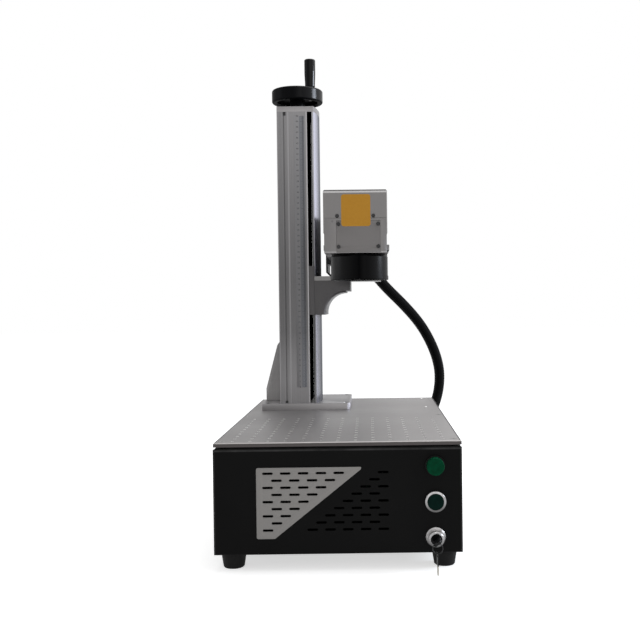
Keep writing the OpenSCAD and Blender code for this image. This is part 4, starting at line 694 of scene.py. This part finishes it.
wears = {
    "cabinetBlack": ["floor_panel", "side_panels", "front_panel", "rear_panel"],
    "cradleBlack": ["cradle"],
    "boxBlack": ["optics_box", "optics_tail"],
    "worktopAlu": ["worktop"],
    "trimAlu": ["vent_trim"],
    "columnAlu": ["column"],
    "plateAlu": ["column_base"],
    "capAlu": ["column_cap"],
    # the block at the slot's foot is painted black as shade
    "slotShadeBlack": ["lower_block"],
    "sourceBlack": ["laser_source"],
    "gussetAlu": ["gusset"],
    "coverAlu": ["column_cover"],
    "headAlu": ["head_body", "head_cover"],
    "headPlateAlu": ["head_plate"],
    "armAlu": ["arm_bracket", "carriage"],
    "armPlateAlu": ["arm_plate"],
    "castAlu": ["galvo_mount"],
    "scaleStrip": ["ruler"],
    "brightSteel": ["button_spring", "fan_guard", "guide_rods", "bearings", "lead_screw"],
    "screwSteel": ["cabinet_screws"],
    "darkSteel": ["column_screws", "arm_screws", "head_screws", "key_ring", "grip_spindle"],
    "chrome": ["button_ring", "key_switch_body"],
    "bronze": ["lead_nut", "slide_bushes"],
    "blackPlastic": ["indicator_body", "fan_frame", "fan_rotor", "power_inlet", "lower_gland"],
    "gripBlack": ["key_barrel", "grip"],
    "wheelBlack": ["handwheel"],
    "keyBlack": ["key"],
    "spareKey": ["spare_key"],
    "hoseBlack": ["hose"],
    "lensBlack": ["lens"],
    "motorBlack": ["isolator", "galvo_motors"],
    "footRubber": ["feet", "worktop_gasket"],
    "lampGreen": ["indicator_lens"],
    "buttonGreen": ["button_cap"],
    "board": ["electronics"],
    "mirrorGlass": ["mirror_x", "mirror_y"],
}
for look, material in finish.items():
    material.name = look
for look, worn in wears.items():
    for name in worn:
        nodes[name].data.materials.clear()
        nodes[name].data.materials.append(finish[look])
print("finishes made:", len(finish))


bodyOf = {n: b for b, ns in frame["record"]["behaviour"]["bodies"].items() for n in ns}
meshing = {
    "meet": 1e-6,  # corners closer than this, in metres, are one
    "flat": math.radians(0.5),
    "sharp": math.radians(28),
}


def standIn(node):
    # a copy of the node that stands for it, its corners merged and its flat faces whole
    data = nodes[node].data.copy()
    work = bmesh.new()
    work.from_mesh(data)
    bmesh.ops.remove_doubles(work, verts=work.verts, dist=meshing["meet"])
    bmesh.ops.dissolve_limit(
        work, angle_limit=meshing["flat"], verts=work.verts, edges=work.edges
    )
    work.to_mesh(data)
    work.free()
    piece = bpy.data.objects.new("soft." + node, data)
    bpy.context.scene.collection.objects.link(piece)
    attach(piece, bodyOf[node])
    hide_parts(node)
    return piece


def soften(node, width):
    # a stand-in with all its sharp edges broken
    piece = standIn(node)
    piece.data.shade_smooth()
    edge = piece.modifiers.new("edges", "BEVEL")
    edge.width, edge.segments, edge.limit_method = width, 2, "ANGLE"
    edge.angle_limit = meshing["sharp"]
    edge.harden_normals = True
    edge.use_clamp_overlap = True


def chamferRim(node, rim):
    # a stand-in with one facet cut along the outline of its top
    def onRim(corner):
        x, y, z = corner.co / mm
        return z > rim["above"] and (abs(x) > rim["aside"] or abs(y) > rim["along"])

    piece = standIn(node)
    work = bmesh.new()
    work.from_mesh(piece.data)
    sharp = [
        e for e in work.edges
        if len(e.link_faces) == 2 and e.calc_face_angle(0) > rim["angle"]
        and all(map(onRim, e.verts))
    ]
    bmesh.ops.bevel(
        work, geom=sharp, offset=rim["width"] * mm, segments=1, affect="EDGES", profile=0.5
    )
    work.to_mesh(piece.data)
    work.free()
    piece.data.shade_flat()


worktopRim = {"width": 1.2, "above": 180.9, "aside": 174.5, "along": 296.5, "angle": 0.5}
edgeBreaks = {
    "column_base": 0.5, "column_cap": 0.6, "arm_plate": 0.5, "arm_bracket": 0.4, "carriage": 0.4,
    "head_body": 0.4, "head_plate": 0.3, "optics_tail": 0.5, "cradle": 0.4, "gusset": 0.5,
    "vent_trim": 0.4, "ruler": 0.15,
}
chamferRim("worktop", worktopRim)
for name, width in edgeBreaks.items():
    soften(name, width * mm)
print("edges broken on", len(edgeBreaks) + 1, "pieces")


def gridFaces(rows, columns, closeRows=False, closeColumns=False):
    # quads of a grid of rows by columns of points, counted row by row
    i = np.arange(rows if closeRows else rows - 1)[:, None]
    j = np.arange(columns if closeColumns else columns - 1)[None, :]
    a = i * columns + j
    b = i * columns + (j + 1) % columns
    c = ((i + 1) % rows) * columns + (j + 1) % columns
    d = ((i + 1) % rows) * columns + j
    return np.stack([a, b, c, d], -1).reshape(-1, 4)


def newPiece(name, points, faces, material, body, smooth=True, close=False):
    # points in millimetres; a piece with no body is left unattached
    data = bpy.data.meshes.new(name)
    points = np.asarray(points * mm, np.float32).reshape(-1, 3)
    faces = np.asarray(faces, np.int32)
    sides = faces.shape[1]
    data.vertices.add(len(points))
    data.vertices.foreach_set("co", points.ravel())
    data.loops.add(faces.size)
    data.loops.foreach_set("vertex_index", faces.ravel())
    data.polygons.add(len(faces))
    data.polygons.foreach_set("loop_start", np.arange(0, faces.size, sides, dtype=np.int32))
    data.polygons.foreach_set("use_smooth", np.full(len(faces), smooth))
    data.update(calc_edges=True)
    data.validate()
    if close:  # merges what meets in a pole and turns the faces outwards
        work = bmesh.new()
        work.from_mesh(data)
        bmesh.ops.remove_doubles(work, verts=work.verts, dist=meshing["meet"])
        bmesh.ops.recalc_face_normals(work, faces=work.faces)
        work.to_mesh(data)
        work.free()
    data.materials.append(finish[material])
    piece = bpy.data.objects.new(name, data)
    bpy.context.scene.collection.objects.link(piece)
    if body:
        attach(piece, body)
    return piece


def roundTurn(sides):
    return np.linspace(0, 2 * np.pi, sides, endpoint=False)


hose = {
    "diameter": 22.6,
    "bore": 14.0,
    "groove": 0.8,
    "pitch": 3.6,
    "sides": 24,
    "perRib": 8,
    "cuff": 3.0,
    "cuffDepth": 0.35,  # as a share of the groove's depth
    "sharpness": 0.55,  # the smaller, the wider the ribs' flat crests
    "across": (1, -0.6, 0),
}
hoseRoute = [
    (24.4, 266, 492.4), (24.4, 276, 492.4), (24.4, 286, 492.4), (24.4, 296, 492.4),
    (27, 326, 488), (34, 355, 475), (49, 380, 453), (69, 396, 427), (90, 405, 404),
    (112, 415, 383), (133, 427, 361), (153, 436, 338), (171, 441, 311), (185, 446, 283),
    (196, 453, 255), (204, 463, 219), (201, 466, 178), (189, 455, 143), (169, 431, 117),
    (154, 402, 106), (148, 370, 104), (148, 360, 104), (148, 350, 104), (148, 340, 104),
]


def smoothRoute(points, perSpan=60):
    # uniform cubic B-spline led by the points, its ends on the first and last
    p = np.array(points, float)
    p = np.vstack([2 * p[0] - p[1], p, 2 * p[-1] - p[-2]])
    t = np.linspace(0, 1, perSpan, endpoint=False)[:, None, None]
    a, b, c, d = (p[None, k:len(p) - 3 + k] for k in range(4))
    second, third = 3 * t**3 - 6 * t**2 + 4, -3 * t**3 + 3 * t**2 + 3 * t + 1
    curve = ((1 - t) ** 3 * a + second * b + third * c + t**3 * d) / 6
    curve = curve.transpose(1, 0, 2).reshape(-1, 3)
    return np.vstack([curve, p[-2]])


def evenly(line, count):
    # the line's points at even steps of its length, with its length
    run = np.concatenate([[0], np.cumsum(np.linalg.norm(np.diff(line, axis=0), axis=1))])
    at = np.linspace(0, run[-1], count)
    return np.stack([np.interp(at, run, line[:, k]) for k in range(3)], 1), run[-1]


def carriedRings(line, across):
    # at each point of the line, two unit vectors square to it that turn as little as they can
    ahead = np.gradient(line, axis=0)
    ahead /= np.linalg.norm(ahead, axis=1)[:, None]
    side = np.cross(ahead, across)
    side /= np.linalg.norm(side, axis=1)[:, None]
    return side, np.cross(ahead, side)


def makeHose(h):
    # radius over the length: crests with round shoulders between narrow grooves
    curve = smoothRoute(hoseRoute)
    length = evenly(curve, 2)[1]
    ribs = int(round((length - 2 * h["cuff"]) / h["pitch"]))
    line, length = evenly(curve, ribs * h["perRib"] + 1)
    run = np.linspace(0, length, len(line))
    phase = (run - h["cuff"]) / (length - 2 * h["cuff"]) * ribs
    wave = np.abs(np.cos(np.pi * phase)) ** h["sharpness"]
    ribbed = (run > h["cuff"]) & (run < length - h["cuff"])
    radius = h["diameter"] / 2 - h["groove"] * np.where(ribbed, 1 - wave, h["cuffDepth"])
    side, up = carriedRings(line, h["across"])
    turn = roundTurn(h["sides"])[None, :, None]
    ring = np.cos(turn) * side[:, None] + np.sin(turn) * up[:, None]
    outer = line[:, None] + radius[:, None, None] * ring
    # the bore has a ring at every second rib, goes back to the start and closes the wall
    few = slice(None, None, h["perRib"] * 2)
    innerLine, innerRing = line[few], ring[few]
    if not np.allclose(innerLine[-1], line[-1]):
        innerLine = np.vstack([innerLine, line[-1:]])
        innerRing = np.concatenate([innerRing, ring[-1:]])
    inner = (innerLine[:, None] + h["bore"] / 2 * innerRing)[::-1]
    points = np.concatenate([outer, inner])
    quads = gridFaces(len(points), h["sides"], closeRows=True, closeColumns=True)[:, ::-1]
    piece = newPiece("ribbedHose", points, quads, "hoseBlack", None)
    return piece, line[:: h["perRib"]], length


ribbedHose, hosePath, hoseLength = makeHose(hose)
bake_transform(ribbedHose)
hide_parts("hose")
print("hose made, length %.1f mm" % hoseLength)


# for each axis, the directions in which the turn starts, goes on and rises
turnedAxes = {"z": ((1, 0, 0), (0, 1, 0), (0, 0, 1)), "y": ((1, 0, 0), (0, 0, 1), (0, -1, 0))}


def turned(name, centres, profile, axis, sides, material, body, slot, ring=False, smooth=True):
    # a profile of (radius, height) turned about every centre, all in one piece; a ring's profile
    # comes back to its start, and others end on the axis
    turn = roundTurn(sides)[None, :, None]
    radius, height = (column[:, None, None] for column in np.asarray(profile, float).T)
    u, v, w = (np.array(a, float) for a in turnedAxes[axis])
    one = radius * (np.cos(turn) * u + np.sin(turn) * v) + height * w
    points = np.asarray(centres, float)[:, None, None] + one[None]
    quads = gridFaces(len(profile), sides, closeRows=ring, closeColumns=True)
    quads = np.concatenate([quads + k * len(profile) * sides for k in range(len(points))])
    newPiece(name, points, quads, material, body, smooth, close=True)


inserts = {
    "first": (-150.0, -282.0),
    "pitch": 25.0,
    "columns": 13,
    "rows": 11,
    "top": 181.0,
    "profile": [(1.8, -5.9), (1.8, 0.04), (2.35, 0.05), (2.35, -0.6), (2.55, -0.6), (2.55, -5.9)],
    "sides": 14,
}


def makeInserts(g):
    # bright thread of every fixture hole, just inside its wall
    i, j = np.meshgrid(np.arange(g["columns"]), np.arange(g["rows"]), indexing="ij")
    x, y = g["first"][0] + i * g["pitch"], g["first"][1] + j * g["pitch"]
    centres = np.stack([x, y, np.full(i.shape, g["top"])], -1).reshape(-1, 3)
    turned("threadInserts", centres, g["profile"], "z", g["sides"], "insertSteel", "base",
           "bright_steel", ring=True, smooth=False)


smallScrews = {
    "worktop": [(150.2, 124.2, 181.0), (150.6, 273.0, 181.0)],
    "basePlate": [(-2.0, 107.0, 193.0)],
    "profile": [(0, -0.5), (2.1, -0.5), (2.1, 0.5), (1.7, 0.9), (1.0, 0.95), (0.9, 0.25), (0, 0.2)],
    "pinHole": (-8.3, -177.0, 501.9),
    "pinProfile": [(0, -0.3), (1.25, -0.3), (1.25, 0.04), (0.95, 0.05), (0.85, -0.1), (0, -0.12)],
    "sides": 20,
}


def makeSmallScrews(s):
    # button heads with a socket, and the dark plug of a pin hole on the head's face
    heads = s["worktop"] + s["basePlate"]
    turned("smallScrews", heads, s["profile"], "z", s["sides"], "insertSteel", "base",
           "bright_steel")
    turned("pinPlug", [s["pinHole"]], s["pinProfile"], "y", s["sides"], "darkSteel", "carriage",
           "dark_steel")


# black strips that stand in for the shade in the carriage's slot
liners = {
    "low": 193.4,
    "high": 730.1,
    "thick": 0.45,
    "edge": 0.12,
    # x of the faces they lie on, the way they stand out, and their reach from front to back
    "rows": [(-64.4, 1, 108.2, 113.8), (-64.4, 1, 214.2, 219.8), (-56.4, -1, 108.2, 219.8)],
}


def makeLiners(g):
    # thin black strips laid in the carriage's slot as painted shade: a rectangle with two broken
    # corners carried up the column
    t, e = g["thick"], g["edge"]
    heights = (g["low"], g["low"], g["high"], g["high"])
    points, quads = [], []
    for face, way, front, rear in g["rows"]:
        across = np.array([0, t - e, t, t, t - e, 0, 0]) * way + face
        along = np.array([front, front, front + e, rear - e, rear, rear, (front + rear) / 2])
        outline = np.stack([across, along], 1)
        middle = np.broadcast_to(outline.mean(0), outline.shape)
        rings = [
            np.column_stack([flat, np.full(len(flat), z)])
            for flat, z in zip((middle, outline, outline, middle), heights)
        ]
        one = gridFaces(len(rings), len(outline), closeColumns=True)
        quads.append(one + len(rings) * len(outline) * len(points))
        points.append(np.stack(rings))
    newPiece("slotShadeStrips", np.concatenate(points), np.concatenate(quads), "slotShadeBlack", "base",
             smooth=False, close=True)


decal = {
    "middle": (28.0, 518.5),
    "half": (22.5, 24.5),
    "corner": 4.0,
    "face": -177.0,
    "proud": 0.14,
    "sides": 96,
    # rings from the middle out and back under it: share of the outline, and of the height
    "rings": [(0.0, 1), (0.5, 1), (0.985, 1), (1.0, 0.8), (1.0, -0.4), (0.0, -0.4)],
}


def makeDecal(d):
    # outline of a rectangle with round corners, scaled in rings
    turn = roundTurn(d["sides"]) + np.pi / d["sides"]
    arc = np.stack([np.cos(turn), np.sin(turn)], 1)
    outline = np.sign(arc) * (np.array(d["half"]) - d["corner"]) + d["corner"] * arc
    shares, heights = np.array(d["rings"]).T
    flat = np.array(d["middle"]) + shares[:, None, None] * outline[None]
    depth = np.broadcast_to((d["face"] - d["proud"] * heights)[:, None], flat.shape[:2])
    points = np.stack([flat[..., 0], depth, flat[..., 1]], -1)
    quads = gridFaces(len(shares), d["sides"], closeColumns=True)
    newPiece("blankDecal", points, quads, "amberVinyl", "carriage", smooth=False,
             close=True)


scale = {
    "face": 107.5,
    "proud": 0.04,
    "foot": 222.5,
    "length": 500,
    "right": -70.4,
    "tickLengths": {1: 3.2, 5: 4.6, 10: 6.4},  # of every first, fifth and tenth millimetre
    "tickWidth": 0.32,
    "numbersAt": -82.6,
    "numberSize": 4.2,
    "numberEvery": 10,
}


def makeTicks(s):
    # one flat bar per millimetre
    at = np.arange(s["length"] + 1)
    reach = np.zeros(len(at))
    for step, size in s["tickLengths"].items():
        reach[at % step == 0] = size
    low, high = (s["foot"] + at + s["tickWidth"] / 2 * way for way in (-1, 1))
    left, right = s["right"] - reach, np.full(len(at), s["right"])
    y = np.full(len(at), s["face"] - s["proud"])
    corners = ((left, low), (right, low), (right, high), (left, high))
    points = np.stack([np.stack([x, y, z], 1) for x, z in corners], 1)
    quads = np.arange(4 * len(at)).reshape(-1, 4)
    newPiece("scaleMarks", points, quads, "markInk", "base", smooth=False)


def makeNumbers(s):
    # plain centimetre numbers, each set as text and turned into triangles on the strip's face
    points, faces, count = [], [], 0
    for number in range(s["length"] // s["numberEvery"] + 1):
        words = bpy.data.curves.new("number", "FONT")
        words.body, words.size = str(number), s["numberSize"]
        words.align_x, words.align_y = "CENTER", "CENTER"
        words.resolution_u = 2
        carrier = bpy.data.objects.new("number", words)
        data = carrier.to_mesh()
        data.calc_loop_triangles()
        flat = np.empty(len(data.vertices) * 3)
        data.vertices.foreach_get("co", flat)
        corners = np.empty(len(data.loop_triangles) * 3, np.int32)
        data.loop_triangles.foreach_get("vertices", corners)
        flat = flat.reshape(-1, 3)
        depth = np.full(len(flat), s["face"] - s["proud"])
        height = s["foot"] + s["numberEvery"] * number + flat[:, 1]
        points.append(np.stack([s["numbersAt"] + flat[:, 0], depth, height], 1))
        faces.append(corners.reshape(-1, 3) + count)
        count += len(flat)
        carrier.to_mesh_clear()
        bpy.data.objects.remove(carrier)
        bpy.data.curves.remove(words)
    newPiece("scaleNumbers", np.concatenate(points), np.concatenate(faces), "markInk", "base",
             smooth=False)


makeInserts(inserts)
makeSmallScrews(smallScrews)
makeLiners(liners)
makeDecal(decal)
makeTicks(scale)
makeNumbers(scale)
print("worktop inserts, screws, liners, blank decal and scale made")


studio = {
    "sky": 0.5,
    "aim": (0, 0, 0.35),
    # place, energy, size and colour
    "lamps": {
        "key": ((2.2, 0.0, 1.0), 36, 0.75, (0.82, 0.89, 1.0)),
        "side": ((-2.2, -0.1, 1.0), 3, 0.9, (0.88, 0.92, 1.0)),
        "top": ((0.3, 0.2, 2.4), 18, 1.6, (1.0, 0.99, 0.97)),
        "fill": ((0.3, -2.5, 0.8), 6, 1.5, (1.0, 0.98, 0.96)),
    },
    "floorTone": (0.82, 0.82, 0.82),
    "floorGlow": 0.6,
    "floorReach": 12.0,
}


def makeSky(strength):
    # white to the camera, in mirrors and through glass, and dimmer as light on what is matt
    world = bpy.data.worlds.new("studioSky")
    bpy.context.scene.world = world
    world.use_nodes = True
    tree = world.node_tree
    tree.nodes.clear()
    rays = tree.nodes.new("ShaderNodeLightPath")
    seen = rays.outputs["Is Camera Ray"]
    for way in ("Is Transmission Ray", "Is Glossy Ray"):
        either = tree.nodes.new("ShaderNodeMath")
        either.operation, either.use_clamp = "ADD", True
        tree.links.new(seen, either.inputs[0])
        tree.links.new(rays.outputs[way], either.inputs[1])
        seen = either.outputs[0]
    share = tree.nodes.new("ShaderNodeMapRange")
    share.inputs["To Min"].default_value = strength
    tree.links.new(seen, share.inputs["Value"])
    sky = tree.nodes.new("ShaderNodeBackground")
    sky.inputs["Color"].default_value = (1, 1, 1, 1)
    tree.links.new(share.outputs[0], sky.inputs["Strength"])
    end = tree.nodes.new("ShaderNodeOutputWorld")
    tree.links.new(sky.outputs[0], end.inputs["Surface"])


def makeLamp(name, aim, place, energy, size, colour):
    data = bpy.data.lights.new(name, "AREA")
    data.energy, data.size, data.color = energy, size, colour
    lamp = bpy.data.objects.new(name, data)
    lamp.location = place
    ahead = Vector(aim) - Vector(place)
    lamp.rotation_euler = ahead.to_track_quat("-Z", "Y").to_euler()
    bpy.context.scene.collection.objects.link(lamp)


def makeFloor(s):
    # pale floor that carries the shadow, and glows to the camera, in mirrors and through glass
    r = Recipe()
    r.material.name = "floorPale"
    ways = ("Is Camera Ray", "Is Glossy Ray", "Is Transmission Ray")
    direct, glossy, through = (r.node("ShaderNodeLightPath", out=way) for way in ways)
    plain = r.node("ShaderNodeBsdfDiffuse", None, {"Color": s["floorTone"]})
    glow = r.node("ShaderNodeEmission", None, {"Color": (1, 1, 1), "Strength": s["floorGlow"]})
    lit = r.node("ShaderNodeAddShader", None, {0: plain, 1: glow})
    settings = {"operation": "ADD", "use_clamp": True}
    share = r.node("ShaderNodeMath", settings, {0: direct, 1: glossy + through})
    material = r.finish(r.node("ShaderNodeMixShader", None, {0: share, 1: plain, 2: lit}))
    data = bpy.data.meshes.new("floor")
    reach = s["floorReach"]
    corners = [(-reach, -reach, 0), (reach, -reach, 0), (reach, reach, 0), (-reach, reach, 0)]
    data.from_pydata(corners, [], [(0, 1, 2, 3)])
    data.materials.append(material)
    floor = bpy.data.objects.new("floor", data)
    bpy.context.scene.collection.objects.link(floor)


makeSky(studio["sky"])
for lampName, lamp in studio["lamps"].items():
    makeLamp(lampName, studio["aim"], *lamp)
makeFloor(studio)
bpy.context.scene.view_settings.view_transform = "Standard"
print("studio made")
